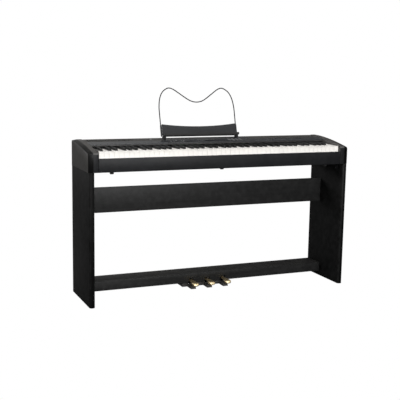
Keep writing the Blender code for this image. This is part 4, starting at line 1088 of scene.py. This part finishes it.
def cast_pedal(place):
    """A lever as a bmesh. `place` is the middle of the toe's tip."""
    bm = bmesh.new()
    loops = []
    for back in RING_PLACES:
        half, top, bottom = lever_section(back)
        ring = bmesh.ops.create_circle(bm, segments=RING_SIDES, radius=1.0)["verts"]
        for step, vert in enumerate(ring):
            turn = 2 * math.pi * (step + 0.5) / RING_SIDES
            across = half * squared(math.cos(turn), 0.45)
            up = (top + bottom) / 2 + (top - bottom) / 2 * squared(math.sin(turn), 0.6)
            vert.co = place + Vector((across, back, up))
        loops.append(list(dict.fromkeys(edge for vert in ring for edge in vert.link_edges)))
    for near, far in zip(loops, loops[1:]):
        bmesh.ops.bridge_loops(bm, edges=near + far)
    bmesh.ops.holes_fill(bm, edges=bm.edges, sides=RING_SIDES)
    return bm


for name in ("soft_pedal", "sostenuto_pedal", "sustain_pedal"):
    low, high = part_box(name)
    tip = Vector(((low.x + high.x) / 2, low.y, high.z - 0.0035))
    finished(name + "_cast", cast_pedal(tip), name, brass_skin, [name], smooth=50.0)
    coil = bmesh.new()
    coil.from_mesh(frame["nodes"][name + "_spring"].data)
    bmesh.ops.remove_doubles(coil, verts=coil.verts, dist=1e-6)
    spring = finished(name + "_coil", coil, STAND, steel_skin, [name + "_spring"], smooth=60.0)
    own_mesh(spring)
for name in ("pedal_cover", "pedal_base_plate"):
    finished(name + "_moulded", eased(name, 0.0005, 1), STAND, case_skin, [name])

# %% [markdown]
# ## Connections at the back
# The sockets sit in a recessed plate. Each round one has a nickel bush with a
# rounded rim, spun from its section.

# %% Sockets
finished("jack_panel_moulded", eased("jack_panel", 0.0003, 1), STAND, gloss_skin,
         ["jack_panel"])
panel_low, panel_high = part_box("jack_panel")
BUSH_SECTION = (
    (0.0030, -0.0020), (0.0030, 0.0012), (0.0036, 0.0018), (0.0056, 0.0018), (0.0062, 0.0012), (0.0062, 0.0)
)
bushes = bmesh.new()
for x in (0.270, 0.296, 0.322):
    part = bmesh.new()
    verts = [part.verts.new((r, 0.0, up)) for r, up in BUSH_SECTION]
    chain = [part.edges.new(pair) for pair in zip(verts, verts[1:])]
    bmesh.ops.spin(part, geom=verts + chain, cent=(0, 0, 0), axis=(0, 0, 1), angle=2 * math.pi, steps=24,
                   use_merge=True)
    spot = CASE @ Vector((x, 0, 0.064))
    bmesh.ops.transform(part, matrix=aimed((x, panel_high.y, spot.z), (0, 1, 0)), verts=part.verts)
    pour(bushes, part)
finished("socket_bushes", bushes, STAND, socket_skin)
print("jack panel from", round(panel_low.x, 3), "to", round(panel_high.x, 3))
